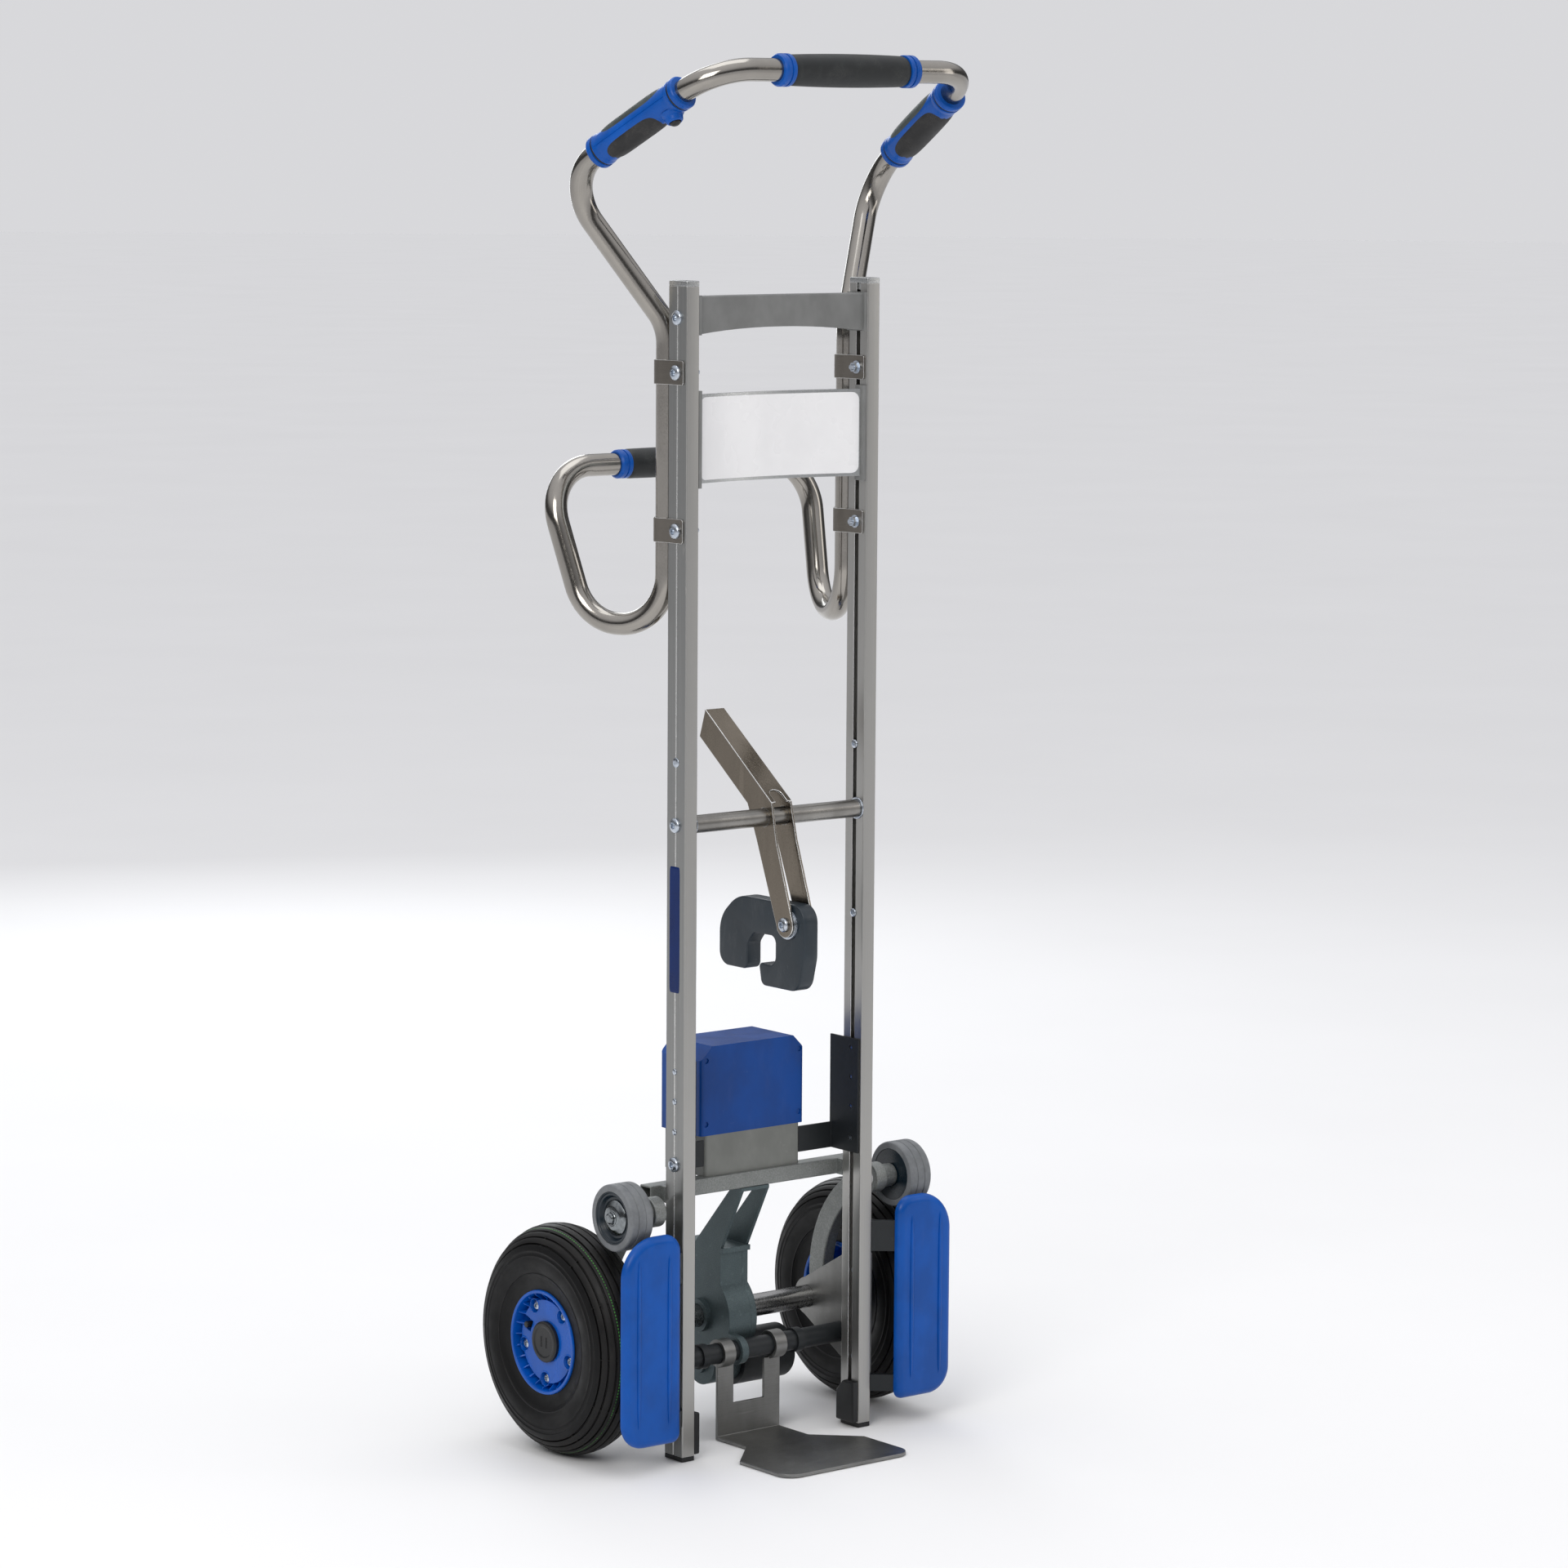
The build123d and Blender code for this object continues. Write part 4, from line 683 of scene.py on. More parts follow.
@dataclass(frozen=True)
class Rubber(Finish):
    """Rubber or soft grip: pebbled skin, dull sheen and pale dust in broad patches."""

    rough: float = 0.7
    pebble: float = 1100.0
    depth: float = 0.00012
    dust: float = 0.3
    dust_tone: tuple = (0.16, 0.15, 0.14, 1.0)

    def build(self) -> Tree:
        """Cells make the pebbles, and the dust keeps to broad patches.

        Returns:
            The finish's node tree.
        """
        tree = Tree(f"finish_{self.name}")
        pebbles = tree.cells(self.pebble)
        patch = tree.noise(38.0, 5.0, 0.65)
        fine = tree.noise(900.0, 2.0, 0.6)
        broad = tree.span(patch, 0.42, 0.75, 0.0, self.dust)
        dusty = tree.sum("MULTIPLY", broad, tree.span(fine, 0.3, 0.7))
        darker, lighter = toned(self.tone, 0.75), toned(self.tone, 1.2)
        clean = tree.tint(tree.span(patch, 0.3, 0.7), darker, lighter)
        tree.shade(
            base_color=tree.tint(dusty, clean, self.dust_tone),
            roughness=tree.span(patch, 0.3, 0.7, self.rough - 0.08, self.rough + 0.1),
            specular_ior_level=0.4,
        )
        tree.emboss(pebbles, self.depth, 0.5)
        tree.emboss(fine, 0.00003, 0.4)
        return tree


@dataclass(frozen=True)
class TreadRubber(Finish):
    """Tyre rubber: fine turned lines, grey road dust on the tread and a thin broken
    marking line round it.

    The marking lies at one distance along the profile, read from the tyre's UV map.
    """

    line_at: float
    tread: tuple

    def build(self) -> Tree:
        """The first UV number runs over the profile and the second round the tyre.

        Returns:
            The finish's node tree.
        """
        tree = Tree(f"finish_{self.name}", on_uv=True)
        along, around = tree.axis(0), tree.axis(1)
        rings = tree.noise((2600.0, 6.0, 1.0), 3.0, 0.6)
        patch = tree.noise((60.0, 24.0, 1.0), 5.0, 0.7)
        fine = tree.noise((900.0, 900.0, 1.0), 2.0, 0.6)
        middle = sum(self.tread) / 2
        reach = (self.tread[1] - self.tread[0]) / 2
        off = tree.sum("ABSOLUTE", tree.sum("SUBTRACT", along, middle))
        on_tread = tree.span(off, reach * 0.9, reach, 1.0, 0.0)
        dust = tree.sum("MULTIPLY", tree.span(patch, 0.35, 0.8, 0.08, 0.5), on_tread)
        darker, lighter = toned(self.tone, 0.7), toned(self.tone, 1.3)
        base = tree.tint(tree.span(rings, 0.3, 0.7), darker, lighter)
        dusted = tree.tint(dust, base, (0.03, 0.028, 0.026, 1.0))
        beside = tree.sum("ABSOLUTE", tree.sum("SUBTRACT", along, self.line_at))
        dashes = tree.sum("SINE", tree.sum("MULTIPLY", around, 1900.0))
        faded = tree.span(patch, 0.36, 0.5, 0.15, 0.9)
        broken = tree.sum("MULTIPLY", tree.span(dashes, -0.5, 0.3), faded)
        mark = tree.sum("MULTIPLY", tree.span(beside, 0.0003, 0.0007, 1.0, 0.0), broken)
        tree.shade(
            base_color=tree.tint(mark, dusted, colour(70, 150, 60)),
            roughness=tree.span(patch, 0.3, 0.7, 0.4, 0.58),
            specular_ior_level=0.22,
        )
        tree.emboss(rings, 0.00006, 0.5)
        tree.emboss(fine, 0.00004, 0.5)
        return tree


@dataclass(frozen=True)
class CastMetal(Finish):
    """Rough sand-cast or painted metal: grainy skin, soft lumps and rubbed spots."""

    rough: float = 0.55
    metal: float = 0.55
    grain: float = 520.0
    depth: float = 0.00025

    def build(self) -> Tree:
        """Two noises make the sand grain and the lumps.

        Returns:
            The finish's node tree.
        """
        tree = Tree(f"finish_{self.name}")
        sand = tree.noise(self.grain, 5.0, 0.7)
        lumps = tree.noise(60.0, 3.0, 0.5)
        rub = tree.span(tree.noise(120.0, 4.0, 0.6), 0.6, 0.75, 0.0, 0.5)
        base = tree.tint(tree.span(sand, 0.35, 0.7), toned(self.tone, 0.7), toned(self.tone, 1.15))
        lumpy = tree.tint(tree.span(lumps, 0.3, 0.7, 0.0, 0.3), base, toned(self.tone, 0.6))
        tree.shade(
            base_color=tree.tint(rub, lumpy, toned(self.tone, 1.4)),
            metallic=self.metal,
            roughness=tree.sum("SUBTRACT", tree.span(sand, 0.3, 0.7, self.rough, self.rough + 0.15),
                               tree.sum("MULTIPLY", rub, 0.25)),
        )
        tree.emboss(sand, self.depth, 0.5)
        tree.emboss(lumps, 0.0005, 0.3)
        return tree


@dataclass(frozen=True)
class Bright(Finish):
    """Plated metal: chrome or zinc with tiny pits, a drift of colour and finger haze."""

    rough: float = 0.12
    drift: tuple = (0.55, 0.6, 0.7, 1.0)

    def build(self) -> Tree:
        """Broad noise drifts the colour, and fine noise pits the plating.

        Returns:
            The finish's node tree.
        """
        tree = Tree(f"finish_{self.name}")
        haze = tree.noise(240.0, 4.0, 0.6)
        pits = tree.span(tree.noise(2200.0, 2.0, 0.6), 0.66, 0.75)
        tree.shade(
            base_color=tree.tint(tree.span(haze, 0.3, 0.7, 0.0, 0.6), self.tone, self.drift),
            metallic=1.0,
            roughness=tree.sum("ADD", tree.span(haze, 0.3, 0.7, self.rough, self.rough + 0.14),
                               tree.sum("MULTIPLY", pits, 0.2)),
        )
        tree.emboss(pits, 0.00005, 0.4)
        return tree


@dataclass(frozen=True)
class LabelFilm(Finish):
    """Blank label film: satin print white with faint orange peel and rubbed patches."""

    def build(self) -> Tree:
        """A slow noise waves the film, and a fine one gives its peel.

        Returns:
            The finish's node tree.
        """
        tree = Tree(f"finish_{self.name}")
        peel = tree.noise(700.0, 2.0, 0.5)
        wave = tree.noise(24.0, 2.0, 0.5)
        rub = tree.span(tree.noise((60.0, 60.0, 220.0), 4.0, 0.7), 0.62, 0.74, 0.0, 0.1)
        waved = tree.tint(tree.span(wave, 0.3, 0.7), self.tone, toned(self.tone, 0.97))
        tree.shade(
            base_color=tree.tint(rub, waved, toned(self.tone, 0.7)),
            roughness=tree.span(wave, 0.3, 0.7, 0.24, 0.36),
            coat_weight=0.3,
            coat_roughness=0.12,
        )
        tree.emboss(peel, 0.00002, 0.4)
        return tree


@dataclass(frozen=True)
class CircuitBoard(Finish):
    """Lacquered board with fine copper tracks under the lacquer."""

    def build(self) -> Tree:
        """Cell edges read as tracks.

        Returns:
            The finish's node tree.
        """
        tree = Tree(f"finish_{self.name}")
        tracks = tree.span(tree.cells(260.0, "DISTANCE_TO_EDGE"), 0.02, 0.05, 1.0, 0.0)
        tree.shade(
            base_color=tree.tint(tracks, self.tone, toned(self.tone, 2.2)),
            roughness=tree.span(tree.noise(300.0), 0.3, 0.7, 0.25, 0.4),
        )
        tree.emboss(tracks, 0.00004, 0.5)
        return tree


class Palette:
    """Every finish of the trolley."""

    rail = Anodised("anodised_rail", "anodised", colour(168, 167, 164))
    tube = BrushedMetal("polished_tube", "tube_steel", colour(156, 152, 146), rough=0.15,
                        lines=(7.0, 1500.0, 1.0), depth=0.000012, stain=0.35, on_uv=True)
    cross_tube = BrushedMetal("weathered_tube", "steel", colour(148, 146, 142), rough=0.32,
                              lines=(7.0, 1300.0, 1300.0), depth=0.00003, stain=0.7)
    sheet = BrushedMetal("brushed_sheet", "steel", colour(122, 114, 103), rough=0.22,
                         lines=(500.0, 90.0, 12.0), depth=0.000008, stain=0.3)
    strap = BrushedMetal("strap_sheet", "steel", colour(126, 121, 114), rough=0.34,
                         lines=(60.0, 60.0, 1400.0), depth=0.00003, stain=0.5)
    plate = BrushedMetal("worn_plate", "steel", colour(138, 138, 136), rough=0.4,
                         lines=(40.0, 900.0, 900.0), depth=0.00005, stain=0.6)
    shaft = BrushedMetal("ground_shaft", "hard_steel", colour(160, 160, 160), rough=0.25,
                         lines=(1600.0, 30.0, 30.0), stain=0.25)
    zinc = Bright("zinc_plate", "zinc", colour(196, 202, 210), rough=0.2,
                  drift=(0.36, 0.42, 0.5, 1.0))
    chrome = Bright("chrome_cap", "chrome", colour(140, 145, 147), rough=0.08,
                    drift=(0.12, 0.13, 0.14, 1.0))
    # painted highlight: near-white steel laid on the bevelled edges of the rails, clip straps and
    # keg lever
    edge = Bright("bright_edge", "steel", colour(226, 226, 224), rough=0.22,
                  drift=(0.6, 0.6, 0.6, 1.0))
    blue = Moulded("blue_shell", "blue_plastic", colour(0, 80, 168), rough=0.34, scuff=0.06,
                   shine=0.28)
    battery = Moulded("blue_battery", "blue_plastic", colour(0, 64, 140), rough=0.34, scuff=0.06,
                      shine=0.28)
    rim_blue = Moulded("blue_rim", "blue_plastic", colour(0, 82, 176), rough=0.24, scuff=0.05,
                       coat=0.06, shine=0.3)
    strip = Moulded("navy_strip", "blue_plastic", colour(0, 34, 92), rough=0.3, scuff=0.05,
                    shine=0.2)
    grey = Moulded("grey_moulding", "grey_plastic", colour(120, 121, 120), rough=0.5, scuff=0.1)
    housing = Moulded("housing_grey", "grey_plastic", colour(118, 120, 116), rough=0.48, scuff=0.15)
    slate = Moulded("slate_hook", "slate_plastic", colour(35, 45, 53), rough=0.38, scuff=0.22)
    hub = Moulded("slate_hub", "slate_plastic", colour(10, 27, 37), rough=0.28, scuff=0.08)
    black = Moulded("black_moulding", "black_plastic", colour(20, 21, 23), rough=0.42, scuff=0.12)
    dark_paint = CastMetal("dark_paint", "dark_metal", colour(34, 38, 41), rough=0.4, metal=0.2,
                           grain=900.0, depth=0.00006)
    cast = CastMetal("cast_arm", "cast", colour(150, 153, 151), rough=0.46, metal=0.75)
    case = CastMetal("cast_case", "case_cast", colour(88, 102, 105), rough=0.4, metal=0.5,
                     grain=800.0, depth=0.0001)
    grip = Rubber("grip_sleeve", "grip_rubber", colour(33, 36, 37), rough=0.56, dust=0.2)
    pad = Rubber("grip_pad", "grip_rubber", colour(34, 34, 35), rough=0.62, pebble=1500.0)
    # painted light: a lighter, cooler copy of the pad rubber for the upward-facing pads
    upper_pad = Rubber("grip_pad_upper", "grip_rubber", colour(64, 72, 71), rough=0.6,
                       pebble=1500.0)
    grey_rubber = Rubber("grey_tyre", "grey_rubber", colour(116, 119, 122), rough=0.5,
                         pebble=1800.0, depth=0.00004, dust_tone=(0.18, 0.17, 0.16, 1.0))
    film = LabelFilm("blank_film", "panel", colour(243, 243, 244))
    panel = BrushedMetal("panel_plate", "panel", colour(182, 184, 184), rough=0.28,
                         lines=(8.0, 900.0, 1300.0), stain=0.15)
    board = CircuitBoard("board_lacquer", "board", colour(28, 92, 58))
    cell = Moulded("cell_wrap", "cell", colour(60, 120, 70), rough=0.3)


# Making pieces


def linked(name: str, data: bpy.types.ID) -> bpy.types.Object:
    """Stand an object with its data in the scene.

    Args:
        name: name of the object.
        data: its mesh, camera or light.

    Returns:
        The new object.
    """
    made = bpy.data.objects.new(name, data)
    bpy.context.scene.collection.objects.link(made)
    return made


def piece(name: str, patches: list[Patch], finishes: list[Finish], body: str,
          stands_for: tuple = (), sharp: float = 38.0) -> bpy.types.Object:
    """Build a mesh object from patches, give it its finishes and let it ride.

    Args:
        name: piece name.
        patches: closed patches, in millimetres.
        finishes: finishes, indexed by each patch.
        body: the body that it rides on.
        stands_for: model nodes that it replaces.
        sharp: edges that turn by more than this many degrees stay sharp.

    Returns:
        The new object.
    """
    vertices, faces, corners, kinds = [], [], [], []
    offset = 0
    for patch in patches:
        quads, uv, caps = patch.faces()
        flat = patch.points.reshape(-1, 3) * MM
        vertices.append(flat)
        faces += (quads + offset).tolist() + [[k + offset for k in cap] for cap in caps]
        corners.append(uv.reshape(-1, 2))
        corners += [flat[cap][:, :2] for cap in caps]
        kinds += [patch.finish] * (len(quads) + len(caps))
        offset += len(flat)
    mesh = bpy.data.meshes.new(name)
    mesh.from_pydata(np.concatenate(vertices).tolist(), [], faces)
    layer = mesh.uv_layers.new(name="UVMap")
    layer.data.foreach_set("uv", np.concatenate(corners).astype(np.float32).ravel())
    mesh.polygons.foreach_set("material_index", np.array(kinds, np.int32))
    mesh.polygons.foreach_set("use_smooth", np.ones(len(faces), bool))
    work = bmesh.new()
    work.from_mesh(mesh)
    bmesh.ops.remove_doubles(work, verts=work.verts, dist=1e-6)
    work.to_mesh(mesh)
    work.free()
    mesh.set_sharp_from_angle(angle=math.radians(sharp))
    for finish in finishes:
        mesh.materials.append(finish.make())
    made = linked(name, mesh)
    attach(made, body)
    if stands_for:
        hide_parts(*stands_for)
    LOG.info("%s: %d faces on %s", name, len(mesh.polygons), body)
    return made


def dress(finish: Finish, *nodes: str) -> None:
    """Give model nodes a finish in place of their plain one.

    Args:
        finish: the finish.
        nodes: names of the nodes.
    """
    for node in nodes:
        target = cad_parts[node]
        target.data.materials.clear()
        target.data.materials.append(finish.make())
        LOG.info("%s: model node in %s", node, finish.name)


@dataclass(frozen=True)
class ScrewSize:
    """Sizes of a dome-headed screw: radii of head and shank, and both lengths."""

    head: float
    height: float
    shank: float
    length: float
    lobes: int = 6


def screw(axis: Turning, size: ScrewSize) -> Patch:
    """Dome-headed screw with a lobed socket.

    The profile goes up the shank, out under the head, over the dome and down into the
    socket, where the radius swells and shrinks with the cosine of the lobes' angle.

    Args:
        axis: lathe axis, with its origin on the seat and its direction outwards.
        size: the screw's sizes.

    Returns:
        Closed patch.
    """
    head, height, shank, length = size.head, size.height, size.shank, size.length
    lean = np.linspace(0.0, 1.0, 7)[1:] * math.radians(62)
    dome = np.stack([height * (0.35 + 0.65 * np.sin(lean) / math.sin(lean[-1])),
                     head * (1 - (1 - np.cos(lean)) * 1.02)], axis=1)
    start = np.array([[-length, 0.0], [-length, shank * 0.9], [-length + 0.6, shank],
                      [0.0, shank], [0.0, head * 0.97], [height * 0.12, head],
                      [height * 0.35, head]])
    socket = head * 0.42
    end = np.array([[height, socket * 1.08], [height - 0.15, socket],
                    [height * 0.38, socket * 0.95], [height * 0.3, 0.0]])
    profile = np.concatenate([start, dome, end])
    turn = full_turn(48)
    radius = np.repeat(profile[:, 1:], len(turn), axis=1)
    inside = np.zeros(len(profile))
    inside[-4:-1] = (0.6, 1.0, 1.0)
    radius = radius * (1 + 0.13 * inside[:, None] * np.cos(size.lobes * turn)[None])
    return Patch(axis.place(profile[:, :1], radius, turn[None]))


@dataclass
class HandleTube:
    """The bent handle tube in two halves that meet under the grips."""

    radius: float = 12.5
    bend: float = 57.0
    corners: tuple = (
        (0.0, -101.0, 1531.5), (179.0, -101.0, 1531.5), (218.0, 115.4, 1413.5),
        (127.05, 45.5, 1256.0), (127.05, 45.5, 927.7), (167.1, 138.8, 927.7),
        (189.4, 189.5, 1096.2), (0.0, 189.5, 1096.2),
    )
    spacing: float = 4.0
    columns: int = 40
    never_along: tuple = (0.3, -0.8, -0.3)

    def path(self, side: Side) -> np.ndarray:
        """Centre line of one half, from the top middle to the lower middle."""
        corners = np.array(self.corners) * (side.value, 1, 1)
        return resampled(rounded(corners, self.bend, steps=24), self.spacing)

    def build(self) -> None:
        """Carry a circle along each half."""
        for side in Side:
            section = round_section(self.radius, self.columns)
            reference = np.array(self.never_along) * (side.value, 1, 1)
            grid = carried(self.path(side), section, reference)
            piece(f"polished_tube_{side.word}", [Patch(grid, capped=True)], [Palette.tube],
                  "frame", (f"handle_tube_{side.word}",))


@dataclass
class BarGrips:
    """Sleeves and collars on the top bar and on the lower bar."""

    bore: float = 12.55
    top: tuple = (0.0, -101.0, 1531.5)
    top_sleeve: float = 80.0
    top_ends: float = 16.5
    top_middle: float = 18.0
    top_collar: tuple = (15.0, 17.8)
    low: tuple = (0.0, 189.5, 1096.2)
    low_sleeve: float = 75.0
    low_radius: float = 17.0
    low_swell: float = 0.4
    low_collar: tuple = (14.5, 16.3)
    lip: float = 1.3
    lip_from: float = 0.97

    def sleeve(self, half: float, ends: float, middle: float) -> np.ndarray:
        """Profile of a sleeve that swells with a cosine and has lips like quarter circles.

        Args:
            half: half length.
            ends: radius at the ends.
            middle: radius in the middle.

        Returns:
            Points as (distance, radius), from bore to bore.
        """
        place = np.linspace(-1.0, 1.0, 49)
        radius = ends + (middle - ends) * np.cos(place * math.pi / 2) ** 0.8
        at_lip = np.clip((np.abs(place) - self.lip_from) / (1 - self.lip_from), 0, 1)
        lip = self.lip * (1 - np.sqrt(1 - at_lip ** 2))
        body = np.stack([place * half, radius - lip], axis=1)
        return np.concatenate([[[-half, self.bore]], body, [[half, self.bore]]])

    def collar(self, start: float, width: float, radius: float) -> np.ndarray:
        """Profile of a collar: a rounded flange, a groove and a tapered skirt.

        Args:
            start: where it begins.
            width: its length.
            radius: its largest radius.

        Returns:
            Closed run of points as (distance, radius).
        """
        groove, skirt, taper = (start + width * share for share in (0.34, 0.48, 0.84))
        corners = [
            (start, self.bore), (start, radius - 0.1), (groove, radius),
            (groove, radius - 1.3), (skirt, radius - 1.3), (skirt, radius),
            (taper, radius - 0.1), (start + width, radius - 1.9), (start + width, self.bore),
        ]
        return rounded(corners, [0, 0.6, 0.45, 0.2, 0.2, 0.45, 1.2, 0.5, 0], steps=4)

    def build(self) -> None:
        """Turn the sleeves and both pairs of collars."""
        top = self.sleeve(self.top_sleeve, self.top_ends, self.top_middle)
        low = self.sleeve(self.low_sleeve, self.low_radius - self.low_swell, self.low_radius)
        for name, at, profile, node in (
            ("top_sleeve", self.top, top, "top_grip"),
            ("low_sleeve", self.low, low, "lower_grip"),
        ):
            sleeve = Patch(Turning(at, (1, 0, 0)).turned(profile), loop=True)
            piece(name, [sleeve], [Palette.grip], "frame", (node,))
        for name, at, start, (width, radius), node in (
            ("top_collars", self.top, self.top_sleeve, self.top_collar, "top_grip_collars"),
            ("low_collars", self.low, self.low_sleeve, self.low_collar, "lower_grip_collars"),
        ):
            profile = self.collar(start, width, radius)
            patches = [Patch(Turning(at, (side.value, 0, 0)).turned(profile), loop=True)
                       for side in Side]
            piece(name, patches, [Palette.blue], "frame", (node,))


@dataclass
class SideGrips:
    """Shells, soft pads and the switch pod on the two sloping bars."""

    corner: tuple = (218.0, 115.4, 1413.5)
    front: tuple = (179.0, -101.0, 1531.5)
    start: float = 60.0
    length: float = 140.0
    bore: float = 12.55
    body: float = 17.2
    flange: float = 18.6
    pad_turn: float = 97.0
    pad_half_turn: float = 74.0
    pad_from: float = 21.0
    pod_at: float = 116.0
    pod_radius: float = 9.5
    pod_reach: float = 24.5
    button_radius: float = 6.0
    hump: float = 0.9
    seam_depth: float = 0.55
    pad_squareness: float = 0.42
    pad_height: float = 1.5
    pad_sunk: float = 0.4

    def axis(self, side: Side) -> Turning:
        """Lathe axis of one grip, with angle zero pointing outwards.

        Args:
            side: which grip.

        Returns:
            The axis, from the start of the grip towards its front end.
        """
        mirror = np.array((side.value, 1, 1))
        corner, front = np.array(self.corner) * mirror, np.array(self.front) * mirror
        along = unit(front - corner)
        origin = corner + along * self.start
        return Turning(tuple(origin), tuple(along), (side.value, 0.0, 0.0))

    def swell(self, place: np.ndarray) -> np.ndarray:
        """Extra radius at a distance along the grip: a low sine hump."""
        return self.hump * np.sin(np.clip(place / self.length, 0, 1) * math.pi)

    def shell(self, axis: Turning) -> Patch:
        """Shell with a flanged collar at each end and a fine seam down the outer side.

        Args:
            axis: the grip's lathe axis.

        Returns:
            Closed patch.
        """
        end = [(0, self.bore), (0, self.flange - 1.2), (1.6, self.flange), (6.2, self.flange),
               (6.9, self.body - 0.5), (8.9, self.body - 0.5), (9.6, self.flange - 0.2),
               (12.2, self.flange - 0.5), (15.5, self.body)]
        near = rounded(end, [0, 0.8, 0.9, 0.5, 0.2, 0.2, 0.5, 1.5, 0], steps=4)
        middle = np.linspace(17.0, self.length - 17.0, 40)
        body = np.stack([middle, self.body + self.swell(middle) * 0.6], axis=1)
        far = near[::-1] * (-1, 1) + (self.length, 0)
        profile = np.concatenate([near, body, far])
        seam_sides = [-1.7, -0.8, 0.8, 1.7]
        degrees = np.unique(np.concatenate([np.arange(-180, 180, 4.0), seam_sides]))
        turn = np.radians(degrees)
        seam = np.where(np.abs(turn) < math.radians(1.0), self.seam_depth, 0.0)[None]
        place, radius = profile[:, :1], profile[:, 1:]
        on_body = ease(place, 12.5, 14.5) * ease(self.length - place, 12.5, 14.5)
        return Patch(axis.place(place, radius - seam * on_body, turn[None]), loop=True)

    def pad(self, axis: Turning, turn: float, end: float, finish: int) -> Patch:
        """Soft pad laid on the shell, with a superelliptic outline.

        At share s of the way to the outline the pad stands over the shell by its height
        times one less s to the seventh power, less the depth that its edge is sunk, and
        its back lies inside the shell.

        Args:
            axis: the grip's lathe axis.
            turn: angle of the pad's middle, in degrees.
            end: distance at which it ends.
            finish: index of its finish.

        Returns:
            Closed patch.
        """
        share = np.array([0.0, 0.2, 0.4, 0.6, 0.75, 0.85, 0.91, 0.95, 0.98, 1.0])[:, None]
        round_turn = full_turn(96)[None]
        a = signed_power(np.cos(round_turn), self.pad_squareness)
        b = signed_power(np.sin(round_turn), self.pad_squareness)
        place = (self.pad_from + end) / 2 + share * a * (end - self.pad_from) / 2
        angle = math.radians(turn) + share * b * math.radians(self.pad_half_turn)
        over = self.pad_height * (1 - share ** 7) - self.pad_sunk
        top = axis.place(place, self.body + self.swell(place) + over, angle)
        back = axis.place(place, np.full_like(place, self.bore + 1.0), angle)
        return Patch(np.concatenate([top, back[::-1]]), finish=finish)

    def pod(self, axis: Turning) -> tuple[Patch, Patch]:
        """Switch pod with its flared foot and dimpled mouth, and the button in it.

        Args:
            axis: the left grip's lathe axis.

        Returns:
            Patch of the pod and patch of the button.
        """
        along, outward, _ = axis.axes()
        down = np.cross(along, outward)
        down = down if down[2] < 0 else -down
        centre = np.array(axis.origin) + along * self.pod_at
        pod_axis = Turning(tuple(centre), tuple(down), tuple(along))
        reach, radius, button_radius = self.pod_reach, self.pod_radius, self.button_radius
        outer = [
            (13.0, 0.0), (13.0, radius + 4.5), (15.8, radius + 3.0), (18.2, radius + 0.9),
            (reach - 1.4, radius - 0.2), (reach, radius - 2.0), (reach, button_radius + 0.7),
            (reach - 9.4, button_radius + 0.06), (reach - 9.4, 0.0),
        ]
        pod = rounded(outer, [0, 0.5, 3.0, 6.0, 2.2, 0.9, 0.5, 0, 0], steps=5)
        button = [(reach - 3.9, 0.0), (reach - 3.9, button_radius), (reach + 1.2, button_radius),
                  (reach + 3.0, button_radius - 2.6), (reach + 3.4, 0.0)]
        cap = rounded(button, [0, 0.3, 2.2, 3.5, 0], steps=6)
        return Patch(pod_axis.turned(pod, 56)), Patch(pod_axis.turned(cap, 48))

    def build(self) -> None:
        """Shells, pads, pod and button."""
        pads = []
        for side in Side:
            axis = self.axis(side)
            ring = rounded([(6.7, self.bore + 1), (6.7, self.body + 0.5), (9.1, self.body + 0.5),
                            (9.1, self.bore + 1)], [0, 0.9, 0.9, 0], steps=4)
            rings = [ring, ring[::-1] * (-1, 1) + (self.length, 0)]
            patches = [self.shell(axis)]
            patches += [Patch(axis.turned(r), loop=True, finish=1) for r in rings]
            full = self.length - self.pad_from - 1
            low_end = self.pod_at - self.pod_radius - 4 if side is Side.LEFT else full
            quarter = np.cross(axis.axes()[0], axis.axes()[1])
            low = 1 if quarter[2] < 0 else -1
            # finish 1 is the lighter pad rubber, painted light on the upward-facing pads
            pads += [self.pad(axis, low * self.pad_turn, low_end, 0),
                     self.pad(axis, -low * self.pad_turn, full, 1)]
            if side is Side.LEFT:
                pod, button = self.pod(axis)
                patches.append(pod)
                piece("switch_button", [button], [Palette.black], "button", ("drive_button",))
            piece(f"grip_shell_{side.word}", patches, [Palette.blue, Palette.black], "frame",
                  (f"side_grip_{side.word}",))
        piece("grip_pads", pads, [Palette.pad, Palette.upper_pad], "frame", ("side_pads",))


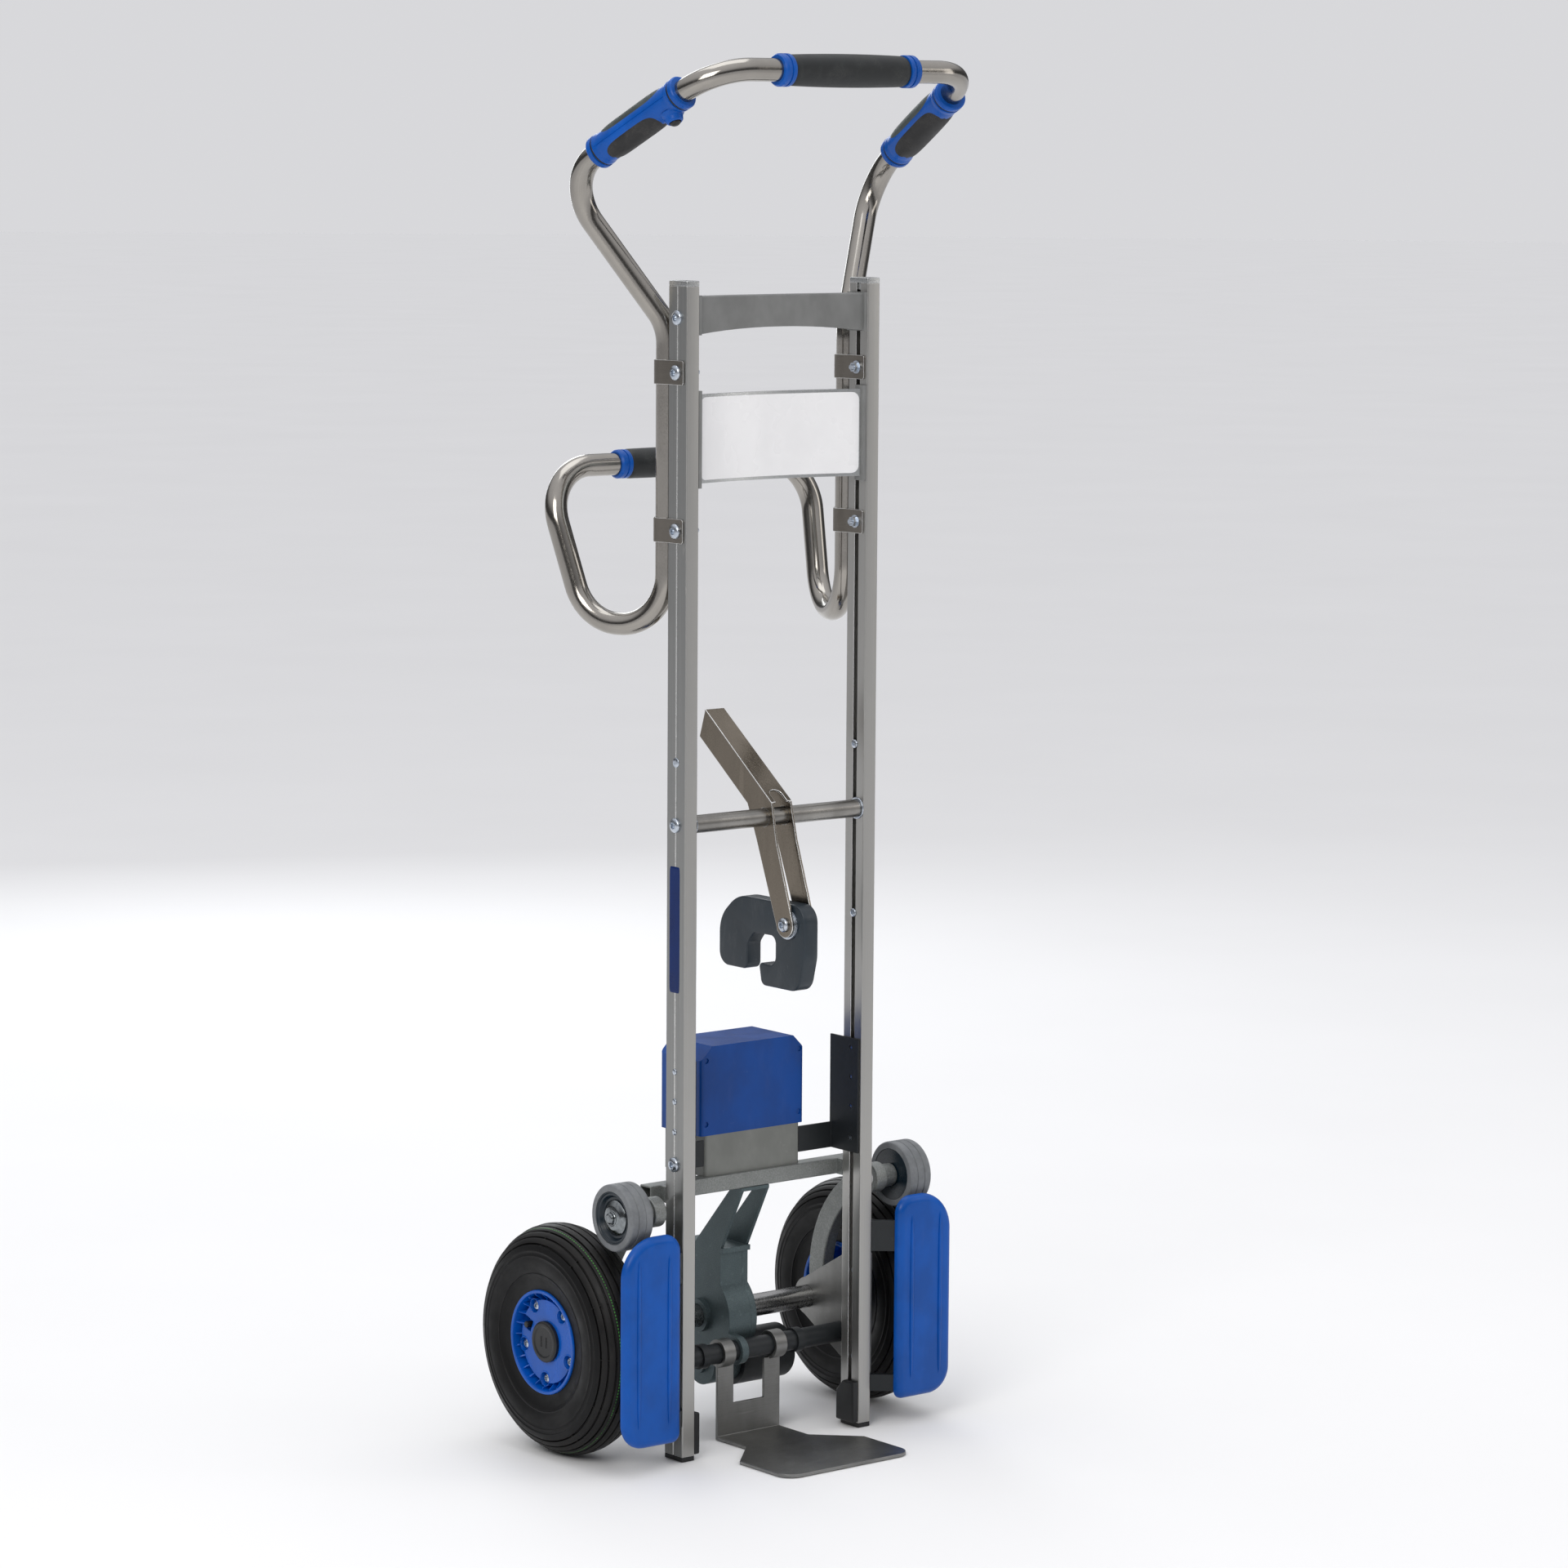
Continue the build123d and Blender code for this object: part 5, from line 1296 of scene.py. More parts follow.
@dataclass
class MainWheels:
    """Pneumatic tyres on bolted rims."""

    centre: float = 211.3
    y: float = 115.5
    z: float = 130.0
    radius: float = 130.0
    section: float = 38.9
    rim_radius: float = 58.7
    rim_half: float = 33.4
    rim_wall: float = 4.7
    disc: float = 26.0
    disc_back: float = 16.0
    hub_back: float = -42.0
    hub_radius: float = 17.0
    bore: float = 10.06
    bolt_circle: float = 43.0
    bolt_angle: float = -14.0
    bolts: int = 5
    valve_circle: float = 36.0
    valve_angle: float = 22.5
    cap_radius: float = 23.0
    ribs: int = 25
    grooves: tuple = (-60.0, -47.0, -34.0, -21.0, -8.0, 8.0, 21.0, 34.0, 47.0, 60.0)
    groove_depth: float = 2.9
    groove_edge: tuple = (0.8, 1.5)
    crown: float = 0.35
    crown_edge: tuple = (1.2, 6.0)
    tread_lean: float = 62.0
    dust_lean: float = 64.0
    shoulder_edge: tuple = (72.5, 74.0)
    tie_step: float = 30.0
    tie_shallow: float = 0.75
    bead_foot: float = 31.0
    mark_lean: float = 27.0
    trough: tuple = (46.6, 47.6)
    trough_depth: float = 8.6
    gusset_back: float = 2.5
    gusset_rise: float = 6.0
    cup: tuple = (8.6, 9.2)
    cup_height: float = 0.4
    pocket: tuple = (6.9, 7.5)
    pocket_depth: float = 5.0
    opening_half: tuple = (6.0, 6.8)
    opening_from: tuple = (30.5, 31.3)
    opening_to: tuple = (46.0, 46.8)
    screw_size: ScrewSize = ScrewSize(head=5.5, height=3.6, shank=3.0, length=5.0)

    def axis(self, side: Side) -> Turning:
        """Lathe axis from the wheel's centre outwards, angle zero along +Y."""
        return Turning((side.value * self.centre, self.y, self.z), (side.value, 0, 0), (0, 1, 0))

    def to_angle(self, side: Side, degrees: float) -> float:
        """Turn on the lathe axis of an angle measured from +Y towards +Z, in radians."""
        return math.radians(degrees) * side.value

    def leans(self) -> np.ndarray:
        """Angles round the tyre's section, closer together at its details.

        Returns:
            Rising angles in degrees, from one bead to the other.
        """
        below = math.sqrt(self.section ** 2 - self.rim_half ** 2)
        limit = math.degrees(math.atan2(self.rim_half, -below))
        steps = np.array([-1.7, -1.2, -0.9, -0.4, 0.4, 0.9, 1.2, 1.7])
        rings = np.array([72, 73.3, 74, 80.4, 81, 82, 110, 111, 112.0])
        near = (np.array(self.grooves)[:, None] + steps).ravel()
        even = np.arange(-limit, limit, 4.5)
        return np.unique(np.concatenate([even, near, -rings, rings, [limit]]))

    def tyre(self, axis: Turning) -> Patch:
        """Tyre section with tread ribs, tie bars in the grooves and sidewall rings.

        The section is a circle whose radius drops in each groove by a smooth trench and
        rises in the low crown of each rib; across a tie bar the trench is shallow.

        Args:
            axis: the wheel's lathe axis.

        Returns:
            Closed patch.
        """
        grooves = np.array(self.grooves)
        lean = self.leans()
        away, sideways = np.abs(lean[:, None] - grooves).min(axis=1), np.abs(lean)
        trench = 1 - ease(away, *self.groove_edge)
        crown = self.crown * ease(away, *self.crown_edge) * (sideways < self.tread_lean)
        shoulder = 0.5 * (1 - ease(np.abs(sideways - 81), 0.2, 0.9))
        shoulder = shoulder - ease(sideways, *self.shoulder_edge)
        bead = 0.7 * (1 - ease(np.abs(sideways - 111), 0.3, 1.2))
        ties = np.arange(0.0, 360.0, self.tie_step)
        even = np.arange(0.0, 360.0, 2.5)
        turn = np.unique(np.concatenate([even, *[ties + step for step in (0.3, 0.6, 0.7, 1.0)]]))
        beside = np.abs((turn[:, None] - ties - 0.5 + 180) % 360 - 180).min(axis=1)
        tie = 1 - ease(beside, 0.2, 0.5)
        depth = trench[:, None] * self.groove_depth * (1 - self.tie_shallow * tie[None])
        reach = self.section - self.crown + (crown + shoulder + bead)[:, None] - depth
        ring = self.radius - self.section
        distance = reach * np.sin(np.radians(lean))[:, None]
        radius = ring + reach * np.cos(np.radians(lean))[:, None]
        foot = np.full((1, len(turn)), self.bead_foot)
        seat = np.full((1, len(turn)), self.rim_radius + 0.1)
        distance = np.concatenate([-foot, distance, foot])
        radius = np.concatenate([seat, radius, seat])
        return Patch(axis.place(distance, radius, np.radians(turn)[None]), loop=True)

    def rim(self, axis: Turning, side: Side) -> Patch:
        """Rim whose outer face is a relief over radius and angle.

        The face is a raised ring round the hub, a lower trough with radial gussets that
        rise to the rim, cups round the bolts, and a cut-out for the valve.

        Args:
            axis: the wheel's lathe axis.
            side: which wheel.

        Returns:
            Closed patch.
        """
        r = np.linspace(self.hub_radius + 1, self.rim_radius - self.rim_wall, 84)[:, None]
        turn = full_turn(540)[None]
        level = self.disc - self.trough_depth * ease(r, *self.trough) + 0.0 * turn
        rib_turn = 2 * math.pi / self.ribs
        beside = np.abs((turn + rib_turn / 2) % rib_turn - rib_turn / 2) * r
        rise = self.gusset_rise * ease(r, 47.0, 54.0)
        gusset = (self.disc - self.gusset_back + rise) * np.ones_like(turn)
        on_rib = (1 - ease(beside, 0.9, 1.5)) * ease(r, 46.0, 47.2)
        level = level + np.clip(gusset - level, 0, None) * on_rib
        for k in range(self.bolts):
            bolt = self.to_angle(side, self.bolt_angle + 360 * k / self.bolts)
            gap = np.hypot(r * np.cos(turn) - self.bolt_circle * math.cos(bolt),
                           r * np.sin(turn) - self.bolt_circle * math.sin(bolt))
            level = blended(level, self.disc + self.cup_height, 1 - ease(gap, *self.cup))
            level = blended(level, self.disc - self.pocket_depth, 1 - ease(gap, *self.pocket))
        valve = self.to_angle(side, self.valve_angle)
        along = r * np.cos(turn - valve)
        beside_valve = np.abs(r * np.sin(turn - valve))
        opening = (1 - ease(beside_valve, *self.opening_half)) * ease(along, *self.opening_from)
        opening = opening * (1 - ease(along, *self.opening_to))
        level = blended(level, self.disc_back + 1.2, opening)
        edge = self.rim_radius - self.rim_wall
        front = np.array([(self.disc - 2, self.bore), (self.disc - 2, self.hub_radius - 1),
                          (self.disc - 0.2, self.hub_radius)])
        back = rounded(
            [(self.rim_half - 3, edge + 0.2), (self.rim_half - 0.2, edge + 0.9),
             (self.rim_half, self.rim_radius - 0.6), (self.rim_half - 1.5, self.rim_radius),
             (-self.rim_half, self.rim_radius), (-self.rim_half, edge), (self.disc_back, edge),
             (self.disc_back, self.hub_radius), (self.hub_back, self.hub_radius),
             (self.hub_back, self.bore)],
            [0.6, 0.8, 0.6, 0.4, 1.0, 1.0, 1.5, 2.0, 0.6, 0], steps=3)
        columns = np.ones_like(turn)
        distance = np.concatenate([front[:, :1] * columns, level, back[:, :1] * columns])
        radius = np.concatenate([front[:, 1:], r, back[:, 1:]])
        return Patch(axis.place(distance, radius, turn), loop=True)

    def cap(self, axis: Turning) -> Patch:
        """Centre cap: a shallow dish with two moulded slots beside its middle.

        Args:
            axis: the wheel's lathe axis.

        Returns:
            Closed patch.
        """
        end = self.cap_radius
        r = np.concatenate([np.linspace(0, end - 3, 30), [end - 2.2, end - 1, end - 0.2, end]])
        r, turn = r[:, None], full_turn(120)[None]
        top = self.disc + 5.0
        level = top - 0.8 * ease(r, end - 5, end - 7) * np.ones_like(turn)
        level = level - 1.6 * ease(r, end - 2.2, end) ** 1.5
        x, y = np.abs(r * np.cos(turn)), np.abs(r * np.sin(turn))
        slot = (1 - ease(np.abs(x - 4.5), 0.7, 1.2)) * (1 - ease(y, 5.5, 6.2))
        level = level - 1.1 * slot
        under = axis.place(np.full((2, 1), self.disc), np.array([[end], [0.0]]), turn)
        return Patch(np.concatenate([axis.place(level, r, turn), under]))

    def fittings(self, side: Side) -> list[Patch]:
        """Rim screws in their cups and the valve stem.

        Args:
            side: which wheel.

        Returns:
            Closed patches: the screws, then the valve with its cap.
        """
        made = []
        for k in range(self.bolts):
            angle = math.radians(self.bolt_angle + 360 * k / self.bolts)
            seat = (side.value * (self.centre + self.disc - self.pocket_depth),
                    self.y + self.bolt_circle * math.cos(angle),
                    self.z + self.bolt_circle * math.sin(angle))
            made.append(screw(Turning(seat, (side.value, 0, 0)), self.screw_size))
        angle = math.radians(self.valve_angle)
        origin = (side.value * (self.centre + self.disc),
                  self.y + self.valve_circle * math.cos(angle),
                  self.z + self.valve_circle * math.sin(angle))
        stem = rounded([(-22, 0), (-22, 3.2), (-8.5, 3.2), (-8.5, 4.6), (-6.5, 4.6), (-5.5, 2.6),
                        (-3.5, 2.6), (-3.5, 3.7), (4.2, 3.7), (5.0, 2.6), (5.0, 0)],
                       [0, 0.5, 0.3, 0.5, 0.5, 0.3, 0.2, 0.5, 0.8, 0.5, 0], steps=3)
        made.append(Patch(Turning(origin, (side.value, 0, 0)).turned(stem, 32), finish=1))
        return made

    def build(self) -> None:
        """Tyre, rim, fittings and cap of both wheels."""
        for side in Side:
            axis, word = self.axis(side), side.word
            body = f"main_wheel_{word}"
            piece(f"ribbed_tyre_{word}", [self.tyre(axis)], [self.rubber()], body,
                  (f"main_tyre_{word}",), sharp=50)
            piece(f"bolted_rim_{word}", [self.rim(axis, side)], [Palette.rim_blue], body,
                  (f"main_rim_{word}",), sharp=42)
            piece(f"rim_screws_{word}", self.fittings(side), [Palette.zinc, Palette.black], body,
                  (f"rim_fittings_{word}",))
            piece(f"centre_cap_{word}", [self.cap(axis)], [Palette.black], body,
                  (f"wheel_cap_{word}",))

    def rubber(self) -> TreadRubber:
        """Tread finish with the marking line on an outer rib.

        Returns:
            The finish, with its places read from the tyre's own profile.
        """
        leans = self.leans()
        run = self.tyre(self.axis(Side.LEFT)).lengths()[0][1:len(leans) + 1]
        places = [self.mark_lean, -self.dust_lean, self.dust_lean]
        mark, start, end = np.interp(places, leans, run).tolist()
        return TreadRubber("tread_rubber", "tyre", colour(9, 9, 10), line_at=mark,
                           tread=(start, end))


@dataclass
class SupportWheels:
    """Small grey wheels on the climbing arms, with hub rings and domed caps."""

    inner: float = 185.0
    width: float = 30.0
    y: float = 25.9
    z: float = 281.9
    radius: float = 37.5
    hub: float = 29.6
    axle: float = 8.06
    cap: float = 20.0
    groove_half: float = 0.9
    groove_depth: float = 1.3

    def build(self) -> None:
        """Turn the tyre, the hub and the cap of each wheel."""
        inner, outer, radius = self.inner, self.inner + self.width, self.radius
        third = self.width / 3
        tyre = [(inner, self.hub), (inner, radius - 1.5), (inner + 2, radius)]
        for groove in (inner + third, outer - third):
            tyre += [(groove - self.groove_half, radius), (groove, radius - self.groove_depth),
                     (groove + self.groove_half, radius)]
        tyre += [(outer - 2, radius), (outer, radius - 1.5), (outer, self.hub)]
        tyre = rounded(tyre, [0.3, 2, 2.5, 0.5, 0.3, 0.5, 0.5, 0.3, 0.5, 2.5, 2, 0.6], steps=4)
        ring = self.hub - 0.02
        hub = rounded(
            [(inner + 0.5, self.axle), (inner + 0.5, ring), (outer - 0.6, ring),
             (outer - 0.6, ring - 1.5), (outer - 1.8, ring - 2.2), (outer - 1.8, ring - 4.4),
             (outer - 6.0, ring - 6.6), (outer - 6.0, self.axle)],
            [0, 0.5, 0.5, 0.4, 0.4, 0.8, 1.0, 0], steps=4)
        cap = rounded(
            [(outer - 6, 0), (outer - 6, self.cap), (outer - 4.4, self.cap),
             (outer - 3.2, self.cap - 1.6), (outer - 0.4, self.cap - 6.5), (outer + 0.6, 8.8),
             (outer - 0.5, 7.4), (outer + 0.8, 6.4), (outer + 3.2, 6.2), (outer + 4.6, 4.4),
             (outer + 4.9, 0)],
            [0, 0.3, 0.5, 1.6, 6, 1.5, 0.8, 0.6, 1.2, 1.6, 0], steps=5)
        for side in Side:
            axis = Turning((0, self.y, self.z), (side.value, 0, 0))
            for name, patch, finish, node in (
                ("grey_tyre", Patch(axis.turned(tyre, 96), loop=True), Palette.grey_rubber, "tyre"),
                ("hub_ring", Patch(axis.turned(hub, 96), loop=True), Palette.hub, "hub"),
                ("domed_cap", Patch(axis.turned(cap)), Palette.chrome, "cap"),
            ):
                piece(f"{name}_{side.word}", [patch], [finish], f"support_wheel_{side.word}",
                      (f"support_{node}_{side.word}",))


@dataclass
class WheelGuards:
    """Blue moulded guards in front of the tyres."""

    inner: float = 155.5
    outer: float = 235.0
    back: float = -17.0
    thick: float = 9.0
    wall: float = 2.5
    bottom: float = 31.0
    top: float = 266.0
    radii: tuple = (11.0, 30.0, 44.0, 20.0)
    roll: float = 8.6
    rib_inset: float = 18.8
    rib_z: tuple = (53.0, 245.0)
    rib_half_width: float = 2.1
    rib_height: float = 2.0

    def shell(self) -> Patch:
        """Open-backed shell: a wall that rolls over a quarter turn into the flat face.

        Along the roll the outline moves inwards by the roll's size less its cosine, and
        forwards by its depth times its sine.

        Returns:
            Closed patch of the right guard.
        """
        outline = rounded([(self.inner, self.bottom), (self.outer, self.bottom),
                           (self.outer, self.top), (self.inner, self.top)],
                          self.radii, closed=True, steps=16)

        def level(depth: float, y: float) -> np.ndarray:
            """The outline moved inwards and stood at y."""
            line = inset(outline, depth)
            return np.column_stack([line[:, 0], np.full(len(line), y), line[:, 1]])

        front = self.back - self.thick
        wall, roll_from = self.wall, 0.4
        rows = [level(wall + 5, front + wall), level(wall + 1, front + wall + 0.6),
                level(wall, front + wall + 3), level(wall, self.back),
                level(0.3, self.back), level(0, self.back - 0.3)]
        for lean in np.linspace(0, math.pi / 2, 10):
            forwards = roll_from + (self.thick - roll_from) * math.sin(lean)
            rows.append(level(self.roll * (1 - math.cos(lean)), self.back - forwards))
        return Patch(np.stack(rows), capped=True)

    def build(self) -> None:
        """Both guards with their raised ribs."""
        middle, half = sum(self.rib_z) / 2, (self.rib_z[1] - self.rib_z[0]) / 2
        patches = [self.shell()]
        patches += [
            soft_bar((x, self.back - self.thick, middle),
                     (half, self.rib_half_width, self.rib_height),
                     ((0, 0, 1), (1, 0, 0), (0, 1, 0)), power=3.0)
            for x in (self.inner + self.rib_inset, self.outer - self.rib_inset)
        ]
        mirrored = [Patch(p.points * (-1, 1, 1), p.ring, p.loop, p.capped) for p in patches]
        piece("blue_guards", patches + mirrored, [Palette.blue], "frame", ("wheel_guards",))


@dataclass
class FrameScrews:
    """Screws, rivets and plugs of the frame, and the rings at the cross tube's ends."""

    outer: float = 135.8
    inner: float = 118.3
    y: float = 16.2
    lug: float = 4.0
    guard_seat: float = 9.2
    clip_sheet: float = 1.8
    rivet_heights: tuple = (370.4, 404.4, 437.8)
    plug_height: float = 781.0
    cross_tube: tuple = (0.0, 12.2, 711.7)

    def row(self, x: float, outwards: int, heights: tuple, size: ScrewSize) -> list[Patch]:
        """Like screws at several heights on both rails.

        Args:
            x: seat's distance from the middle.
            outwards: 1 for heads away from the middle, -1 for heads towards it.
            heights: heights above the floor.
            size: size of each screw.

        Returns:
            Closed patches.
        """
        return [
            screw(Turning((side.value * x, self.y, z), (side.value * outwards, 0, 0)), size)
            for side in Side for z in heights
        ]

    def rivet(self, side: Side, z: float, head: float, height: float, length: float) -> Patch:
        """Plain domed rivet or plug on an outer rail face.

        Args:
            side: which rail.
            z: height above the floor.
            head: head radius.
            height: head height.
            length: shank length.

        Returns:
            Closed patch.
        """
        profile = rounded([(-length, 0), (-length, head * 0.6), (0, head * 0.6), (0, head),
                           (height * 0.5, head * 0.95), (height, head * 0.45), (height, 0)],
                          [0, 0.3, 0, 0.2, head * 0.2, head * 0.4, 0], steps=4)
        axis = Turning((side.value * self.outer, self.y, z), (side.value, 0, 0))
        return Patch(axis.turned(profile, 32))

    def build(self) -> None:
        """Frame screws with rivets and plugs, tube rings and clip screws."""
        frame_row = []
        for x, outwards, heights, size in (
            (self.outer, 1, (1265.8, 711.7, 333.8),
             ScrewSize(head=8.2, height=4.4, shank=3.0, length=19.0)),
            (self.outer + self.lug, 1, (80.0, 180.0),
             ScrewSize(head=7.4, height=4.2, shank=3.0, length=18.0)),
            (self.outer + self.guard_seat, 1, (49.5, 220.5),
             ScrewSize(head=6.5, height=3.6, shank=3.0, length=17.0)),
            (self.inner, -1, (592.3, 784.0),
             ScrewSize(head=4.8, height=2.2, shank=3.0, length=6.0)),
        ):
            frame_row += self.row(x, outwards, heights, size)
        frame_row += [self.rivet(side, z, head=3.6, height=1.6, length=19.0)
                      for side in Side for z in self.rivet_heights]
        frame_row += [self.rivet(side, self.plug_height, head=5.5, height=1.2, length=3.5)
                      for side in Side]
        piece("frame_screws", frame_row, [Palette.zinc], "frame", ("frame_bolts",))
        ring = rounded([(116.9, 10.05), (116.9, 12.0), (118.25, 12.6), (118.25, 10.05)], 0.3,
                       closed=True, steps=3)
        rings = [Patch(Turning(self.cross_tube, (side.value, 0, 0)).turned(ring, 48), loop=True)
                 for side in Side]
        piece("tube_rings", rings, [Palette.zinc], "frame")
        clips = self.row(self.outer + self.clip_sheet, 1, (1034.5, 1206.5),
                         ScrewSize(head=8.4, height=4.8, shank=3.0, length=30.4))
        piece("clip_screws", clips, [Palette.zinc], "frame", ("clip_bolts",))


@dataclass
class SignPanel:
    """Bowed sign panel between its slim brackets, its blank film, and the bare strip on
    the left rail."""

    half: float = 111.6
    rail: float = 118.3
    slim: float = 0.32
    reach: float = 1.063
    bottom: float = 1089.5
    top: float = 1179.5
    panel_half: float = 108.0
    front: float = 5.0
    bow: float = 17.0
    corner: float = 8.0
    film_over: float = 0.25
    film_under: float = 0.1
    strip_centre: tuple = (-135.8, 17.5, 596.0)
    strip_half: tuple = (70.0, 8.8, 0.25)

    def bow_y(self, x: np.ndarray) -> np.ndarray:
        """Front of the panel at x: an arc of the circle through its ends and middle."""
        radius = (self.panel_half ** 2 + self.bow ** 2) / (2 * self.bow)
        return self.front + self.bow - radius + np.sqrt(radius ** 2 - (x / self.reach) ** 2)

    def slimmed(self, points: np.ndarray) -> np.ndarray:
        """Bracket points drawn towards the rail's inner face.

        Args:
            points: the model's points.

        Returns:
            The points at their new distance from the rail.
        """
        x = points[:, 0]
        near = self.rail - (self.rail - np.abs(x)) * self.slim
        return np.column_stack([np.sign(x) * near, points[:, 1:]])

    def build(self) -> None:
        """Panel and brackets, a thin film with rounded corners on the bow, and the strip."""
        eased("sign_panel", Palette.panel, 0.3, "frame",
              reshape=lambda points: points * (self.reach, 1, 1))
        eased("panel_brackets", Palette.grey, 0.4, "frame", reshape=self.slimmed)
        share = np.linspace(1.0, 0.0, 14)[:, None, None]
        corners = [(-self.half, self.bottom), (self.half, self.bottom), (self.half, self.top),
                   (-self.half, self.top)]
        line = rounded(corners, self.corner, closed=True)
        line = np.concatenate([line, [(-self.half, self.bottom + self.corner)]])
        outline = resampled(line, 4.0)[:-1]
        centre = np.array([0.0, (self.bottom + self.top) / 2])
        flat = centre + (outline - centre)[None] * share
        x, z = flat[..., 0], flat[..., 1]
        front = np.dstack([x, self.bow_y(x) - self.film_over, z])
        back = np.dstack([x, self.bow_y(x) + self.film_under, z])
        piece("label_film", [Patch(np.concatenate([front[::-1], back]))], [Palette.film], "frame")
        strip = soft_bar(self.strip_centre, self.strip_half, ((0, 0, 1), (0, 1, 0), (1, 0, 0)),
                         power=16.0, count=64)
        piece("rail_strip", [strip], [Palette.strip], "frame")


def eased(node: str, finish: Finish, width: float, body: str, edge: Finish | None = None,
          reshape: Callable | None = None) -> None:
    """Copy a model node's mesh, join its seams and round its sharp edges over.

    Args:
        node: node to copy.
        finish: finish of the copy.
        width: size of the rounded edge, in millimetres.
        body: body that it rides on.
        edge: finish of the rounded edges, when it differs.
        reshape: function from the mesh's points in millimetres to new ones.
    """
    turn = math.radians(32)
    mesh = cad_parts[node].data.copy()
    mesh.name = f"eased_{node}"
    work = bmesh.new()
    work.from_mesh(mesh)
    bmesh.ops.remove_doubles(work, verts=work.verts, dist=1e-6)
    bmesh.ops.dissolve_limit(work, angle_limit=math.radians(1.0), verts=work.verts,
                             edges=work.edges)
    bmesh.ops.recalc_face_normals(work, faces=work.faces)
    work.to_mesh(mesh)
    work.free()
    if "custom_normal" in mesh.attributes:
        mesh.attributes.remove(mesh.attributes["custom_normal"])
    if reshape:
        points = np.empty(len(mesh.vertices) * 3, np.float32)
        mesh.vertices.foreach_get("co", points)
        points = reshape(points.reshape(-1, 3).astype(float) / MM) * MM
        mesh.vertices.foreach_set("co", points.astype(np.float32).ravel())
    mesh.set_sharp_from_angle(angle=turn)
    mesh.materials.clear()
    mesh.materials.append(finish.make())
    made = linked(f"eased_{node}", mesh)
    bevel = made.modifiers.new("rounded edges", "BEVEL")
    bevel.width, bevel.segments = width * MM, 3
    bevel.limit_method, bevel.angle_limit = "ANGLE", turn
    bevel.use_clamp_overlap, bevel.harden_normals = edge is None, True
    if edge:
        mesh.materials.append(edge.make())
        bevel.material = 1
    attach(made, body)
    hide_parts(node)
    LOG.info("eased_%s: %.1f mm edges on %s", node, width, body)


@dataclass
class FrameParts:
    """Plates, bars and mouldings of the frame, with their sharp edges rounded over."""

    small: float = 0.8
    middle: float = 1.2
    large: float = 2.0

    def build(self) -> None:
        """Round over every plate and moulding that is seen."""
        for node, finish, width, body in (
            ("top_crossbar", Palette.grey, self.middle, "frame"),
            ("battery_case", Palette.battery, self.large, "battery"),
            ("control_housing", Palette.housing, self.large, "frame"),
            ("drive_crossbar", Palette.cast, self.middle, "frame"),
            ("battery_brackets", Palette.dark_paint, self.small, "frame"),
            ("axle_plates", Palette.plate, self.small, "frame"),
            ("toe_plate", Palette.plate, self.small, "frame"),
            ("gear_case", Palette.case, self.middle, "frame"),
            ("gear_case_cover", Palette.case, self.middle, "frame"),
            ("climbing_arms", Palette.cast, self.large, "arms"),
            ("foot_brackets", Palette.black, self.middle, "frame"),
            ("guard_lugs", Palette.dark_paint, self.middle, "frame"),
            ("rail_caps", Palette.panel, self.middle, "frame"),
        ):
            eased(node, finish, width, body)
        for side in Side:
            # the rails' and straps' bevelled edges take the painted highlight finish
            eased(f"rail_{side.word}", Palette.rail, 0.5, "frame", Palette.edge)
        eased("clip_straps", Palette.strap, 0.4, "frame", Palette.edge)


@dataclass
class KegLever:
    """Bent sheet lever whose straps spread towards the hook, with its bolt and washers."""

    y: float = -26.0
    z: float = 595.7
    half: float = 13.5
    spread: float = 0.19
    spread_from: float = 800.0
    spread_to: float = 650.0
    hook_half: float = 10.0
    bore: float = 4.02
    nut: float = 7.4
    nut_height: float = 6.4
    washer: float = 16.5
    washers: int = 2
    play: float = 0.06

    def spread_out(self, points: np.ndarray) -> np.ndarray:
        """Points moved away from the middle plane, more and more towards the hook."""
        share = 1 + self.spread * (1 - ease(points[:, 2], self.spread_to, self.spread_from))
        return np.column_stack([points[:, 0] * share, points[:, 1:]])

    def build(self) -> None:
        """Lever, then the bolt with its nut and two washers on each side of the hook."""
        # the lever's bevelled edges take the painted highlight finish
        eased("keg_lever", Palette.sheet, 0.7, "lever", Palette.edge, self.spread_out)
        seat = self.half * (1 + self.spread) + 0.05
        left, right = (Turning((side.value * seat, self.y, self.z), (side.value, 0, 0))
                       for side in Side)
        nut = rounded([(0.02, self.bore), (0.02, self.nut), (self.nut_height - 0.8, self.nut),
                       (self.nut_height, self.nut - 1.2), (self.nut_height, self.bore)],
                      [0, 0.3, 0.6, 0.6, 0], steps=4)
        size = ScrewSize(head=8.0, height=4.6, shank=4.0, length=2 * seat + 5.5)
        parts = [screw(left, size), Patch(right.turned(nut, 6), loop=True)]
        thick = ((self.half - 2.5) * (1 + self.spread) - self.hook_half) / self.washers
        for side in Side:
            for k in range(self.washers):
                near = self.hook_half + self.play + k * thick
                far = near + thick - 2 * self.play
                ring = rounded([(near, self.bore), (near, self.washer), (far, self.washer),
                                (far, self.bore)], 0.3, closed=True, steps=4)
                axis = Turning((0, self.y, self.z), (side.value, 0, 0))
                parts.append(Patch(axis.turned(ring, 64), loop=True))
        piece("lever_bolt", parts, [Palette.zinc], "lever", ("hook_bolt",))


